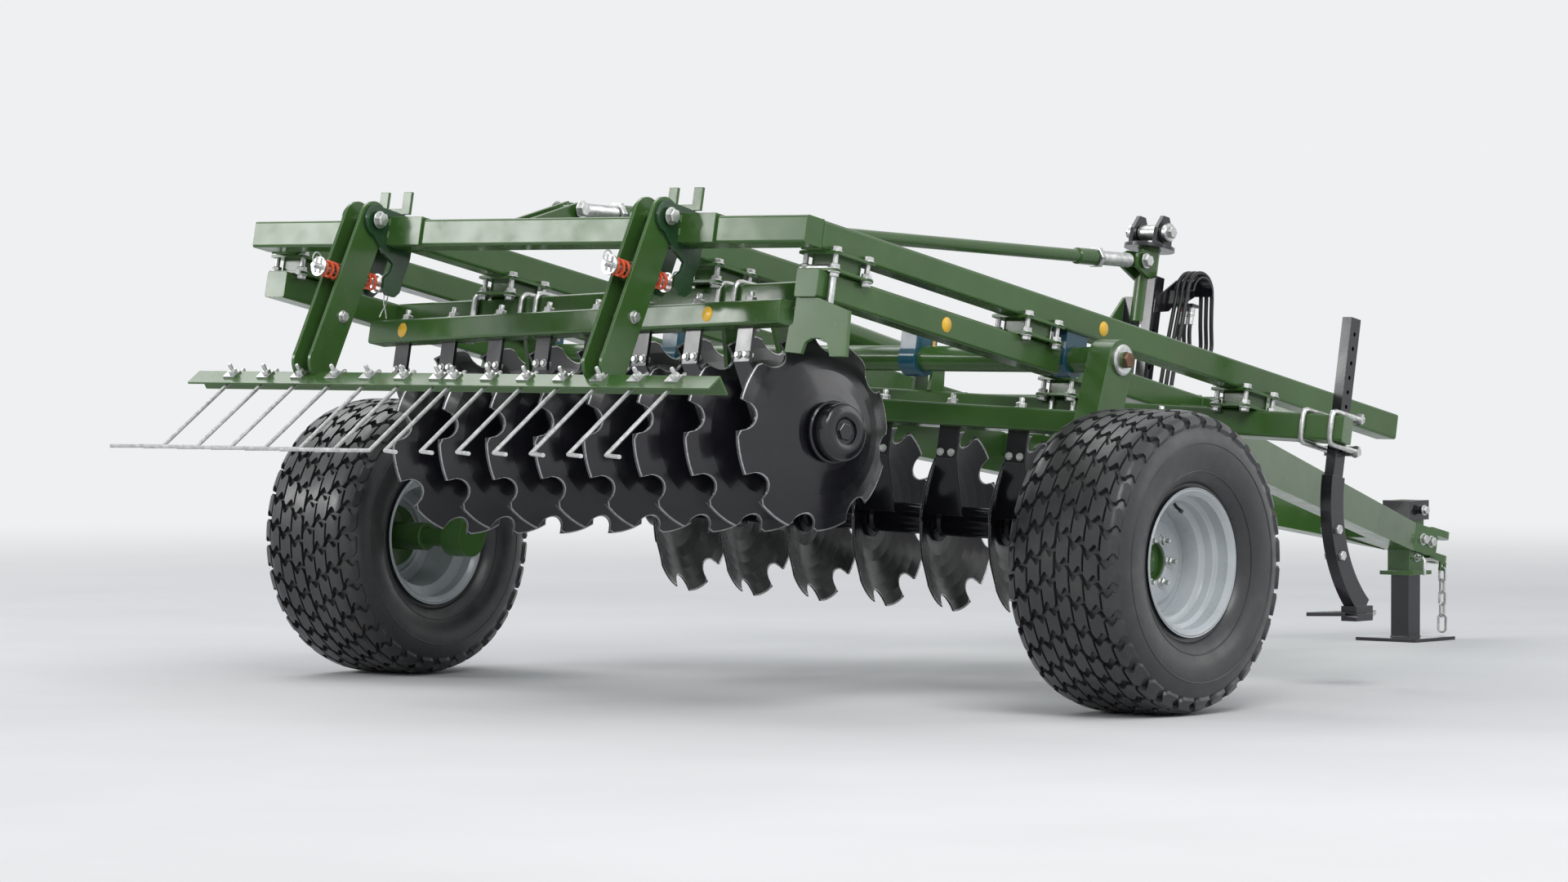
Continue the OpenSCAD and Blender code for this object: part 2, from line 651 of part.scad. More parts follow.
leg_turn = atan2(leg_half, apex_x - leg_start);
leg_run = norm([leg_half, apex_x - leg_start]);
hitch_start = hitch_end - hitch_len;
module drawbar_leg(side) color(green) in_frame() leg_body(side);
module leg_body(side) difference() {
    translate([leg_start, side * leg_half, 0]) rotate([0, 0, -side * leg_turn])
        plate_xz([[0, -tube - leg_h], [leg_run, -tube - leg_tip_h], [leg_run, -tube], [0, -tube]], leg_w);
    translate([leg_start, side > 0 ? -far / 2 : -hitch_half, -far / 2])
        cube([far, far / 2 + hitch_half, far]);
}

module hitch_box() color(green) difference() {
    hitch_body();
    on_ground() translate([stand_x - sleeve_w / 2, -sleeve_w / 2, 0]) cube([sleeve_w, sleeve_w, far]);
}
module hitch_body() in_frame() difference() {
    union() {
        translate([hitch_start, -hitch_half, -tube - leg_tip_h]) cube([hitch_len, 2 * hitch_half, leg_tip_h]);
        for (up = [0, 1])
            translate([hitch_end - 20, 0, clevis_low + up * (clevis_gap + clevis_t)]) {
                translate([0, -clevis_w / 2, 0]) cube([clevis_len + 20 - clevis_w / 2, clevis_w, clevis_t]);
                translate([clevis_len + 20 - clevis_w / 2, 0, 0]) cylinder(r = clevis_w / 2, h = clevis_t);
            }
        translate([tow_pin_x - chain_lug_len / 2, -clevis_w / 2, clevis_low - chain_lug_h])
            cube([chain_lug_len, chain_lug_t, chain_lug_h + 1]);
    }
    translate([tow_pin_x, 0, -far / 2]) cylinder(r = pin_hole_r, h = far);
    translate([tow_pin_x, chain_y, chain_hole_z]) cyl_y(chain_hole_r, 3 * chain_lug_t);
}

// SAFETY CHAIN, hanging from a lug below the clevis; each link is a closed loop of round wire
chain_lug_len = 36;
chain_lug_t = 8;
chain_lug_h = 30;
tow_pin_x = hitch_end + clevis_len - clevis_w / 2;
chain_y = -clevis_w / 2 + chain_lug_t / 2;
chain_hole_z = clevis_low - 15;
link_wire = 5;
link_half = 12;
link_bend = 13;
chain_links = 4;
shackle_wire = 5;
shackle_half = 14;
shackle_bend = 18;
chain_hole_r = 9;
// Half the clear length inside a loop, and how deep its wire hangs in the lug's hole
function inner_half(half, bend, wire) = half + bend * cos(20) - wire * cos(45);
link_inner = inner_half(link_half, link_bend, link_wire);
link_pitch = 2 * link_inner - fit;
hang = sqrt(pow(chain_hole_r, 2) - pow(link_wire * cos(45), 2)) - fit;
function loop_line(half, bend) = [for (end = [1, -1], a = [-60 : 40 : 60]) end * [half + bend * cos(a), bend * sin(a), 0]];
module loop(half, bend, wire) {
    line = loop_line(half, bend);
    n = len(line);
    sides = 4;
    polyhedron([for (i = [0 : n - 1]) let (out = cross(unit(line[(i + 1) % n] - line[(i + n - 1) % n]), [0, 0, 1]))
            for (j = [0 : sides - 1]) line[i] + wire * (cos(45 + 90 * j) * out + sin(45 + 90 * j) * [0, 0, 1])],
        [for (i = [0 : n - 1], j = [0 : sides - 1], part = [0, 1])
            let (k = (j + 1) % sides, a = i * sides, b = (i + 1) % n * sides)
            part == 0 ? [a + j, b + k, b + j] : [a + j, a + k, b + k]]);
}
module safety_chain() color(zinc) on_ground()
    translate([stance_x(tow_pin_x, chain_hole_z), chain_y, stance_z(tow_pin_x, chain_hole_z) - hang - link_inner]) {
        for (i = [0 : chain_links - 1]) translate([0, 0, -i * link_pitch])
            rotate([0, 90, i % 2 == 0 ? 0 : 90]) loop(link_half, link_bend, link_wire);
        last = -(chain_links - 1) * link_pitch - link_inner + fit;
        translate([0, 0, last - inner_half(shackle_half, shackle_bend, shackle_wire)])
            rotate([0, 90, chain_links % 2 == 0 ? 0 : 90]) loop(shackle_half, shackle_bend, shackle_wire);
    }

// MAST AND TOP LINK

// The mast stands on a cross tube between the drawbar's legs: two holed uprights, a neck and a clevis
upright_d = 50;
upright_w = 36;
upright_y = 40;
upright_tops = [453, 382];
cross_half = 500;
neck_r = 36;
collar_r = 84;
collar_t = 12;
link_pin_r = 14;
clevis_y = 48;
mast_plate_t = 14;
module mast() color(green) in_frame() {
    difference() {
        translate([mast_x, 0, -tube]) tube_y(2 * cross_half);
        for (side = [-1, 1]) leg_body(side);
    }
    difference() {
        union() {
            for (i = [0, 1]) translate([mast_x - upright_d / 2, (i == 0 ? -upright_y : upright_y) - upright_w / 2, -tube - 2])
                cube([upright_d, upright_w, upright_tops[i] + tube + 2]);
            translate([mast_x, 0, 300]) cylinder(r = neck_r, h = collar_z - 300 + 1);
            translate([mast_x, 0, collar_z]) cylinder(r = collar_r, h = collar_t);
            translate([0, upright_y + upright_w / 2 + 4, 0]) plate_xz([[front_cross_x + 10, 0],
                [front_cross_x + 66, 0], [mast_x + 15, 350], [mast_x + 15, 380], [mast_x - 25, 380]], 10);
            for (side = [-1, 1]) {
                translate([0, side * 30, 0]) plate_xz([[link_front_x - 34, link_front_z - 26],
                    [mast_x, link_front_z - 60], [mast_x, link_front_z + 40], [link_front_x - 6, link_front_z + 34],
                    [link_front_x - 34, link_front_z + 18]], 12);
                translate([0, side * clevis_y, 0]) plate_xz([[mast_x - 46, collar_z + collar_t - 1],
                    [mast_x + 46, collar_z + collar_t - 1], [mast_x + 42, mast_pin_z + 10], [mast_x + 16, mast_pin_z + 54],
                    [mast_x - 16, mast_pin_z + 54], [mast_x - 42, mast_pin_z + 10]], mast_plate_t);
            }
            translate([mast_x, 0, mast_pin_z]) cyl_y(21, 2 * clevis_y + mast_plate_t + 36);
        }
        for (z = [30 : 60 : 270]) translate([mast_x, 0, z]) cyl_y(9, 4 * upright_y);
        translate([link_front_x, 0, link_front_z]) cyl_y(link_pin_r + fit, 4 * upright_y);
    }
}

// HOSES, hanging over a saddle beside the mast, their couplings parked below it; every point of the
// route is a place in the frame's X-Z plane
hose_r = 7;
hose_y = [-82, -104, -126];
hose_route = [[3070, 60], [3070, 100], [3073, 145], [3076, 190], [3080, 235], [3084, 280], [3089, 325], [3094, 370],
    [3098, 400], [3099, 425], [3108, 459], [3132, 484], [3166, 493], [3200, 484], [3225, 459], [3235, 425],
    [3242, 380], [3250, 335], [3259, 298], [3266, 262], [3258, 231], [3235, 208], [3204, 200], [3173, 208],
    [3150, 231], [3139, 262], [3132, 300], [3132, 340]];
saddle_at = [3167, 425];
saddle_r = 57;
socket_z = 372;
module hose(i) color(black) in_frame()
    sweep([for (p = hose_route) [p[0], hose_y[i], p[1]]], hose_r, 8);
module hose_couplers() color(zinc) in_frame() for (y = hose_y) {
    end = hose_route[len(hose_route) - 1];
    translate([end[0], y, end[1]]) cylinder(r = 10, h = socket_z - end[1]);
}
rack_in = -upright_y - upright_w / 2;
rack_out = hose_y[2] - 14;
module hose_rack() color(green) in_frame() {
    start = hose_route[0];
    translate([start[0] - 20, rack_out, start[1] - 40]) cube([40, rack_in - rack_out, 40]);
    translate([mast_x - 20, rack_in - 8, start[1] - 40]) cube([start[0] - mast_x + 20, 8, 40]);
    difference() {
        translate([saddle_at[0], (rack_in + rack_out) / 2, saddle_at[1]]) cyl_y(saddle_r, rack_in - rack_out);
        translate([saddle_at[0], (rack_in + rack_out) / 2, saddle_at[1]]) cyl_y(saddle_r - 6, rack_in - rack_out + 2);
        translate([saddle_at[0] - 80, rack_out - 1, saddle_at[1] - 100]) cube([160, rack_in - rack_out + 2, 100]);
    }
    translate([hose_route[27][0] - 18, rack_out, socket_z]) cube([36, rack_in - rack_out, 10]);
    translate([0, rack_in - 3, 0]) plate_xz([[mast_x - 20, 330], [mast_x - 20, 375], [3118, 460], [3226, 440], [3226, 426],
        [3155, socket_z + 9], [3114, socket_z + 1], [3090, 350]], 6);
}

module top_link() color(green) in_frame() {
    a = [link_rear_x, link_rear_z];
    b = [link_front_x, link_front_z];
    turn = atan2(b[1] - a[1], b[0] - a[0]);
    translate([a[0], 0, a[1]]) rotate([0, -turn, 0]) rotate([0, 90, 0]) cylinder(r = link_r, h = norm(b - a));
    for (side = [-1, 1]) translate([0, side * 30, 0])
        plate_xz([[10, 0], [tube - 6, 0], [link_rear_x + 34, link_rear_z - 14], [link_rear_x + 20, link_rear_z + 30]], 12);
    translate([a[0], 0, a[1]]) cyl_y(link_pin_r, 96);
    translate([b[0], 0, b[1]]) cyl_y(link_pin_r, 92);
}

// FRONT CORNER TINE

shank_w = 34;
shank_d = 50;
shank_top = 180;
shin_w = shank_w + 6;
shin_d = 66;
tine_arc_r = 420;
tine_arc_end = 62;
straight_bottom = -310;
corner_tine_y = -front_beam_right + 60;
// The shin's lower end, from the shank's rear face
shin_end = [shank_d / 2 + tine_arc_r * (1 - cos(tine_arc_end)), straight_bottom - tine_arc_r * sin(tine_arc_end)];
module corner_tine() color(black) in_front_gang()
    translate([front_beam_set + tube / 2 + shank_w / 2 * sin(front_angle), corner_tine_y, 0]) rotate([0, 0, -front_angle]) {
        difference() {
            translate([0, -shank_w / 2, straight_bottom]) cube([shank_d, shank_w, shank_top - straight_bottom]);
            for (z = [-230 : 45 : shank_top - 20]) translate([shank_d / 2, 0, z]) cyl_y(7, 2 * shank_w);
        }
        translate([tine_arc_r + shank_d / 2, shin_w / 2, straight_bottom]) rotate([90, 0, 0])
            rotate([0, 0, 180]) curved_bar(tine_arc_end);
        translate([shin_end[0], 0, shin_end[1]]) rotate([0, -frame_tilt, 0]) translate([-20, 0, -22]) {
            linear_extrude(12) polygon([[110, 0], [-50, 95], [-130, 95], [-60, 0], [-130, -95], [-50, -95]]);
            translate([-40, -shin_w / 2 - 8, -16]) cube([90, shin_w + 16, 46]);
        }
    }

// A curved bar: part of a ring, turning down and forward from the shank
module curved_bar(angle) linear_extrude(shin_w) intersection() {
    difference() {
        circle(tine_arc_r + shin_d / 2, $fn = 96);
        circle(tine_arc_r - shin_d / 2, $fn = 96);
    }
    polygon([[0, 0], [2 * tine_arc_r, 0], [2 * tine_arc_r, 2 * tine_arc_r * tan(angle / 2)],
        [2 * tine_arc_r * cos(angle), 2 * tine_arc_r * sin(angle)]]);
}

// TINE HARROW

arm_top = [-58, -14];
arm_end = [ridge_x, ridge_z - 6];
arm_half = 55;
arm_t = 10;
arm_gap = 55;
pivot_r = 15;
spring_z = -187;
spring_r = 27;
wire_r = 5;
spring_rod_r = 8;
rear_turns = 3;
front_turns = 4;
washer_t = 6;
// The block between the arm's plates that the spring rod runs through, and the rod's seat between the bracket's cheeks
block_x = -107;
block_len = 60;
seat_x = 30;
seat_len = 24;
spring_end_x = -217;
rod_over = 30;

// A cheek of the bracket: round the rear beam, with an open C below it and a lobe at the spring rod
cheek_y = arm_gap / 2 + arm_t + 1;
bracket_t = 12;
module bracket_cheek() difference() {
    translate([0, bracket_t / 2, 0]) rotate([90, 0, 0]) linear_extrude(bracket_t) {
        polygon([[-58, 28], [20, 26], [tube + 12, 20], [tube + 24, -20], [tube + 22, -tube - 20], [84, spring_z + 22],
            [78, spring_z - 18], [60, spring_z - 35], [24, spring_z - 35], [8, spring_z - 18], [6, spring_z + 12],
            [30, spring_z + 35], [36, -tube - 48], [-10, -tube - 24], [-80, -44]]);
        translate(arm_top) circle(46);
    }
    translate([0, -bracket_t, -tube]) cube([tube, 2 * bracket_t, tube]);
    translate([arm_top[0], 0, arm_top[1]]) cyl_y(pivot_r + fit, 2 * bracket_t);
}
module harrow_brackets() color([0.09, 0.22, 0.12]) in_frame() for (side = [-1, 1]) translate([0, side * harrow_y, 0]) {
    for (cheek = [-1, 1]) translate([0, cheek * (cheek_y + bracket_t / 2), 0]) bracket_cheek();
    difference() {
        translate([seat_x, -cheek_y - bracket_t / 2, spring_z - 22]) cube([seat_len, 2 * cheek_y + bracket_t, 44]);
        translate([seat_x + seat_len / 2, 0, spring_z]) rotate([0, 90, 0])
            cylinder(r = spring_rod_r + seat, h = 2 * seat_len, center = true);
    }
}

// Forked plates that stand on the rear beam between the bracket's cheeks, drawn in the Y-Z plane
fork_x = 63;
fork_t = 10;
module beam_forks() color(zinc) in_frame() for (side = [-1, 1])
    translate([fork_x - fork_t / 2, side * harrow_y, 0]) rotate([90, 0, 90]) linear_extrude(fork_t) difference() {
        union() {
            translate([-36, 0]) square([72, 40]);
            translate([-62, 28]) square([124, 67]);
        }
        translate([-31, 45]) square([62, 60]);
    }

module harrow_arms() color(green) in_frame() for (side = [-1, 1]) translate([0, side * harrow_y, 0]) {
    difference() {
        for (cheek = [-1, 1]) translate([0, cheek * (arm_gap + arm_t) / 2, 0])
            link_xz(arm_top, arm_end + [20, 40], arm_half, arm_t);
        translate([ridge_x, arm_gap, ridge_z + seat]) rotate([90, 0, 0]) linear_extrude(2 * arm_gap)
            rotate(225) square(3 * angle_leg);
    }
    difference() {
        translate([block_x - block_len / 2, -arm_gap / 2, spring_z - 25]) cube([block_len, arm_gap, 50]);
        translate([block_x, 0, spring_z]) rotate([0, 90, 0]) cylinder(r = spring_rod_r + seat, h = 2 * block_len, center = true);
    }
    translate([(arm_top[0] + arm_end[0]) / 2, 0, (arm_top[1] + arm_end[1]) / 2 - 60]) cyl_y(14, arm_gap);
    translate([arm_top[0], 0, arm_top[1]]) cyl_y(pivot_r, arm_gap + 2 * arm_t + 46);
}

// Points of a spring's wire, along -X
function coil(x0, x1, turns, steps) = [for (i = [0 : turns * steps])
    [x0 + (x1 - x0) * i / (turns * steps), (spring_r - wire_r) * sin(360 * i / steps),
        (spring_r - wire_r) * cos(360 * i / steps)]];
module harrow_springs() color(orange) in_frame() for (side = [-1, 1]) translate([0, side * harrow_y, spring_z]) {
    sweep(coil(block_x - block_len / 2 - wire_r - fit, spring_end_x + wire_r, rear_turns, 10), wire_r, 6);
    sweep(coil(seat_x - washer_t - wire_r - 2 * fit, block_x + block_len / 2 + wire_r + fit, front_turns, 10), wire_r, 6);
}

module spring_rods() color(zinc) in_frame() for (side = [-1, 1]) translate([0, side * harrow_y, spring_z])
    rotate([0, -90, 0]) {
        translate([0, 0, -seat_x - seat_len - rod_over])
            cylinder(r = spring_rod_r, h = seat_x + seat_len + 2 * rod_over - spring_end_x);
        for (x = [spring_end_x, seat_x]) translate([0, 0, -x + fit]) cylinder(r = spring_r + 2, h = washer_t);
    }

module tine_bar() color(green) in_frame() translate([ridge_x, tine_bar_half, ridge_z]) rotate([90, 0, 0])
    linear_extrude(2 * tine_bar_half) rotate(225) difference() {
        square(angle_leg);
        translate([angle_t, angle_t]) square(angle_leg);
    }

module harrow_tines() color(zinc) in_frame() for (side = [-1, 1], i = [0 : tines_a_side - 1]) {
    y = side * (first_tine_y + i * tine_pitch);
    under = 14 + sqrt(2) * (angle_t + tine_r + seat);
    top = [ridge_x - 14, y, ridge_z - under];
    knee = [ridge_x + tine_run[0], y, ridge_z + tine_run[1]];
    tip = knee + [tine_tip[0], side * tine_tip_out, tine_tip[1]];
    sweep([top, top + 0.92 * (knee - top), knee, knee + 0.15 * (tip - knee), tip], tine_r, 8);
}

// STAND

foot_t = 12;
sleeve_bottom = 230;
leg_out_w = sleeve_w - 2 * sleeve_wall - 1;
collar_w = 130;
head_w = 116;
head_h = 68;
module centred_block(w, h) translate([-w / 2, -w / 2, 0]) cube([w, w, h]);
module stand_sleeve() color(green) on_ground() translate([stand_x, 0, sleeve_bottom]) {
    difference() {
        union() {
            centred_block(sleeve_w, sleeve_len + 1);
            centred_block(collar_w, 14);
            translate([0, 0, sleeve_len]) centred_block(head_w, head_h);
        }
        translate([0, 0, -1]) centred_block(sleeve_w - 2 * sleeve_wall, sleeve_len + head_h + 2);
    }
    for (side = [-1, 1]) translate([0, side * (head_w / 2 + 9), sleeve_len + head_h / 2]) cyl_y(13, 20);
}
module stand_leg() color(black) on_ground() translate([stand_x, 0, 0]) {
    translate([-foot_w / 2, -foot_w / 2, 0]) cube([foot_w, foot_w, foot_t]);
    translate([-leg_out_w / 2, -leg_out_w / 2, foot_t])
        cube([leg_out_w, leg_out_w, sleeve_bottom + sleeve_len - 10 - foot_t]);
}

rear_beam();
side_beam(1);  // side_beam_left
side_beam(-1);  // side_beam_right
inner_beam(1);  // inner_beam_left
inner_beam(-1);  // inner_beam_right
front_cross_beam();
lower_beam(1);  // lower_beam_left
lower_beam(-1);  // lower_beam_right
frame_spacers();
beam_forks();
end_bracket();
rear_scrapers();
front_scrapers();
safety_chain();
hose_rack();
hose_couplers();
hose(0);  // hose_inner
hose(1);  // hose_middle
hose(2);  // hose_outer
hub(1);  // hub_left
hub(-1);  // hub_right
rear_gang_beam();
front_gang_beam();
rear_scraper_beam();
front_scraper_beam();
rear_hangers();
front_hangers();
shaft_bearings();
drawbar_leg(1);  // drawbar_leg_left
drawbar_leg(-1);  // drawbar_leg_right
hitch_box();
mast();
top_link();
corner_tine();
harrow_brackets();
harrow_arms();
harrow_springs();
spring_rods();
tine_bar();
harrow_tines();
stand_sleeve();
stand_leg();
rock_shaft();
wheel_arm(1);  // wheel_arm_left
wheel_arm(-1);  // wheel_arm_right
tyre(1);  // tyre_left
tyre(-1);  // tyre_right
rim(1);  // rim_left
rim(-1);  // rim_right
rear_discs();
rear_axle();
front_discs();
front_axle();
cylinder_bracket();
lift_barrel();
lift_rod();
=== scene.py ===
"""Dresses the trailed offset disc harrow: finishes, tyre tread, fasteners, clamps, welds and the studio."""
import math

import bmesh
import bpy
from mathutils import Matrix, Vector


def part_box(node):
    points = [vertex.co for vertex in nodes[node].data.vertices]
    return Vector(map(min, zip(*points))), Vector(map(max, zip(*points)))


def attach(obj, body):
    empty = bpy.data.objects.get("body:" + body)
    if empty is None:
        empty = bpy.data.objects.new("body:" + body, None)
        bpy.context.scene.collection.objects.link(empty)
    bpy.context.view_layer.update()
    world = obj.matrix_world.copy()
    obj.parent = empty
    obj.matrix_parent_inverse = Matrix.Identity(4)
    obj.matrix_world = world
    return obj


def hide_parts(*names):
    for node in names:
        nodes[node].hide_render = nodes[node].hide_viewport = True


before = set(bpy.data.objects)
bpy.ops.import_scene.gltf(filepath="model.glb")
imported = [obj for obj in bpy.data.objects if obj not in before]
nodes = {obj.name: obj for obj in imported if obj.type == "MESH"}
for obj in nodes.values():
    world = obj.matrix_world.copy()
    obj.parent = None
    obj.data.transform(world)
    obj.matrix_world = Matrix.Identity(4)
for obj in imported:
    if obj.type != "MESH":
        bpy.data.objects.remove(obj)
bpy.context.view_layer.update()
axle = Vector(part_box("tyre_left")[0]) + Vector(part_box("tyre_left")[1])
AXLE_X = axle.x / 2

# Stance of the machine's frame: its nose-down angle, and the rear edge of its top plane
TILT = 11.5
REAR_BACK = 1.040
REAR_Z = 1.424

# Frame: tube size, half width, and the levels of the lower frame
TUBE = 0.080
HALF = 1.074
GAP = 0.057
INNER_Y = 0.473
CROSS_X = 2.720
LOWER_TOP = -TUBE - GAP
LOWER_BOTTOM = LOWER_TOP - TUBE
LOWER_BACK = 0.080
LOWER_LEN = 1.140
SPACER_LEN = 0.120
SIDE_Y = HALF - TUBE / 2

# Disc gangs: each one's middle in the frame, its angle, and how far its beam stands from the axle's line
REAR_MIDDLE = (0.506, -0.154)
REAR_SKEW = 10
REAR_SET = -0.093
FRONT_MIDDLE = (1.890, -0.028)
FRONT_SKEW = 14
FRONT_SET = 0.077

# Discs, spools and bearings
DISCS = 8
PITCH = 0.230
DISC_R = 0.280
DISH = 0.070
DISC_T = 0.006
FLAT_R = 0.075
NOTCHES = 8
NOTCH_R = 0.046
GANG_DROP = 0.549
BEARINGS = (-2 * PITCH, 2 * PITCH)
BEARING_SET = 0.015
BEARING_HALF = 0.030
FOOT_T = 0.012
SPOOL_FLANGE = 0.008
# Circles of the four bolts on a spool, on a gang's bolted end and on a bearing
SPOOL_BOLTS = 0.057
END_BOLTS = 0.052
BEARING_BOLTS = 0.056

# Scrapers
SCRAPER_BEAM = 0.070
SCRAPER_BACK = 0.250
SCRAPER_DROP = 0.222
SCRAPER_SET = 0.116

# Wheels
TYRE_R = 0.437
TRACK = 2.948

# Rock shaft and wheel arms
ROCK_X = 1.304
ROCK_Z = -0.156
ARM_Y = 1.195
ARM_W = 0.080

# Tine harrow
HARROW_Y = 0.565
RIDGE_X = -0.206
RIDGE_Z = -0.498
FIRST_TINE_Y = 0.030
TINE_PITCH = 0.138
TINES_A_SIDE = 7
ARM_TOP_X = -0.058
ARM_TOP_Z = -0.014
SPRING_Z = -0.187
ROD_FRONT_X = 0.084
ROD_REAR_X = -0.247
ARM_BOLT = (-0.132, -0.319)

# Top link
LINK_REAR = (0.202, 0.068)
LINK_FRONT = (2.960, 0.493)

# Mast
MAST_X = 3.029
COLLAR_Z = 0.545
MAST_PIN_Z = 0.602

# Stand and hitch
STAND_X = 3.560
STAND_HEAD_Z = 0.4225
STAND_PIN_Z = 0.290
HITCH_END = 4.830

# Hoses: their sideways places, and the route in the frame's X-Z plane
HOSE_R = 0.007
HOSE_Y = {"inner": -0.082, "middle": -0.104, "outer": -0.126}
HOSE_ROUTE = (
    (3.070, 0.060), (3.070, 0.100), (3.073, 0.145), (3.076, 0.190), (3.080, 0.235), (3.084, 0.280),
    (3.089, 0.325), (3.094, 0.370), (3.098, 0.400), (3.099, 0.425), (3.108, 0.459), (3.132, 0.484),
    (3.166, 0.493), (3.200, 0.484), (3.225, 0.459), (3.235, 0.425), (3.242, 0.380), (3.250, 0.335),
    (3.259, 0.298), (3.266, 0.262), (3.258, 0.231), (3.235, 0.208), (3.204, 0.200), (3.173, 0.208),
    (3.150, 0.231), (3.139, 0.262), (3.132, 0.300), (3.132, 0.340),
)

# Camera: the photograph's viewpoint, with the lens closed in on the machine
CAMERA_FROM_AXLE = Vector((-13.543, -11.358, 1.169))
CAMERA_AIM = Vector((-0.30, 0.48, 0.74))
CAMERA_LENS = 134.0


def make_camera():
    data = bpy.data.cameras.new("camera")
    data.sensor_width = 36.0
    data.lens = CAMERA_LENS
    data.clip_end = 200.0
    camera = bpy.data.objects.new("camera", data)
    bpy.context.scene.collection.objects.link(camera)
    place = CAMERA_FROM_AXLE + Vector((AXLE_X, 0, 0))
    camera.location = place
    camera.rotation_euler = (CAMERA_AIM - place).to_track_quat("-Z", "Y").to_euler()
    bpy.context.scene.camera = camera


make_camera()


# Places
def at(x=0.0, y=0.0, z=0.0):
    return Matrix.Translation((x, y, z))


def turn(axis, degrees):
    return Matrix.Rotation(math.radians(degrees), 4, axis)


def along(a, b):
    """A place at a whose local Z axis points to b."""
    a, b = Vector(a), Vector(b)
    return Matrix.Translation(a) @ (b - a).to_track_quat("Z", "Y").to_matrix().to_4x4()


FRAME = at(AXLE_X - REAR_BACK, 0, REAR_Z) @ turn("Y", TILT)
REAR_GANG = FRAME @ at(*REAR_MIDDLE) @ turn("Z", -REAR_SKEW)
FRONT_GANG = FRAME @ at(*FRONT_MIDDLE) @ turn("Z", FRONT_SKEW)
DOWN = turn("X", 180)
REARWARD = turn("Y", -90)
FORWARD = turn("Y", 90)
LEFTWARD = turn("X", -90)
RIGHTWARD = turn("X", 90)
# The two sides of a middle, each with the way that its outer face looks
SIDES = ((-1, RIGHTWARD), (1, LEFTWARD))


def rear_beam_x(y):
    """Where the rear gang beam's middle line lies at this place across the frame."""
    skew = math.radians(REAR_SKEW)
    return REAR_MIDDLE[0] + REAR_SET / math.cos(skew) + (y - REAR_MIDDLE[1]) * math.tan(skew)


def front_beam_x(y):
    """Where the front gang beam's middle line lies at this place across the frame."""
    skew = math.radians(FRONT_SKEW)
    return FRONT_MIDDLE[0] + FRONT_SET / math.cos(skew) - (y - FRONT_MIDDLE[1]) * math.tan(skew)


def circle(radius, steps):
    """A full turn of points in a plane, with the first one again at the end."""
    turns = [2 * math.pi * j / steps for j in range(steps + 1)]
    return [(radius * math.cos(a), radius * math.sin(a)) for a in turns]


def four_around(radius):
    """The places of four bolts on a circle, halfway between the axes."""
    corners = [math.radians(45 + 90 * n) for n in range(4)]
    return [(radius * math.cos(a), radius * math.sin(a)) for a in corners]


def across_line(line, i, start=None):
    """Two directions across a line at one of its points; start carries on the turn of the point before."""
    ahead = (line[min(i + 1, len(line) - 1)] - line[max(i - 1, 0)]).normalized()
    if start is None:
        start = Vector((0, 0, 1)) if abs(ahead.z) < 0.9 else Vector((1, 0, 0))
    side = (start - start.dot(ahead) * ahead).normalized()
    return side, ahead.cross(side)


# Materials: the road dust on paint, and how far the looks round off an edge
DUST = (0.23, 0.21, 0.15)
PAINT_EDGE = 0.003
METAL_EDGE = 0.0015
RUBBER_EDGE = 0.002


def new_material(name, color, rough, metal=0.0, coat=0.0, coat_rough=0.08):
    mat = bpy.data.materials.new(name)
    mat.use_nodes = True
    tree = mat.node_tree
    shader = tree.nodes["Principled BSDF"]
    shader.inputs["Base Color"].default_value = (*color, 1.0)
    shader.inputs["Roughness"].default_value = rough
    shader.inputs["Metallic"].default_value = metal
    shader.inputs["Coat Weight"].default_value = coat
    shader.inputs["Coat Roughness"].default_value = coat_rough
    return mat, tree, shader


def object_place(tree):
    return tree.nodes.new("ShaderNodeTexCoord").outputs["Object"]


def noise(tree, vector, scale, detail=4.0, rough=0.55):
    node = tree.nodes.new("ShaderNodeTexNoise")
    node.inputs["Scale"].default_value = scale
    node.inputs["Detail"].default_value = detail
    node.inputs["Roughness"].default_value = rough
    tree.links.new(vector, node.inputs["Vector"])
    return node.outputs["Fac"]


def ramp(tree, fac, stops):
    node = tree.nodes.new("ShaderNodeValToRGB")
    elements = node.color_ramp.elements
    while len(elements) < len(stops):
        elements.new(0.5)
    for element, (place, color) in zip(elements, stops):
        element.position = place
        element.color = (*color, 1.0)
    tree.links.new(fac, node.inputs["Fac"])
    return node.outputs["Color"]


def grey(value):
    return (value, value, value)


def scaled(color, factor):
    return tuple(min(1.0, c * factor) for c in color)


def mix(tree, fac, a, b):
    """Mixes two colours; each is a socket or a plain colour."""
    node = tree.nodes.new("ShaderNodeMix")
    node.data_type = "RGBA"
    tree.links.new(fac, node.inputs[0])
    for socket, value in ((node.inputs[6], a), (node.inputs[7], b)):
        if isinstance(value, tuple):
            socket.default_value = (*value, 1.0)
        else:
            tree.links.new(value, socket)
    return node.outputs[2]


def rounded(tree, radius):
    """The normal of edges rounded off to this radius."""
    node = tree.nodes.new("ShaderNodeBevel")
    node.samples = 4
    node.inputs["Radius"].default_value = radius
    return node.outputs["Normal"]


def edge_mask(tree, normal):
    """1 along edges and 0 on the flat, from how far the rounded normal turns."""
    geometry = tree.nodes.new("ShaderNodeNewGeometry")
    dot = tree.nodes.new("ShaderNodeVectorMath")
    dot.operation = "DOT_PRODUCT"
    tree.links.new(normal, dot.inputs[0])
    tree.links.new(geometry.outputs["Normal"], dot.inputs[1])
    return ramp(tree, dot.outputs["Value"], [(0.93, grey(1.0)), (0.995, grey(0.0))])


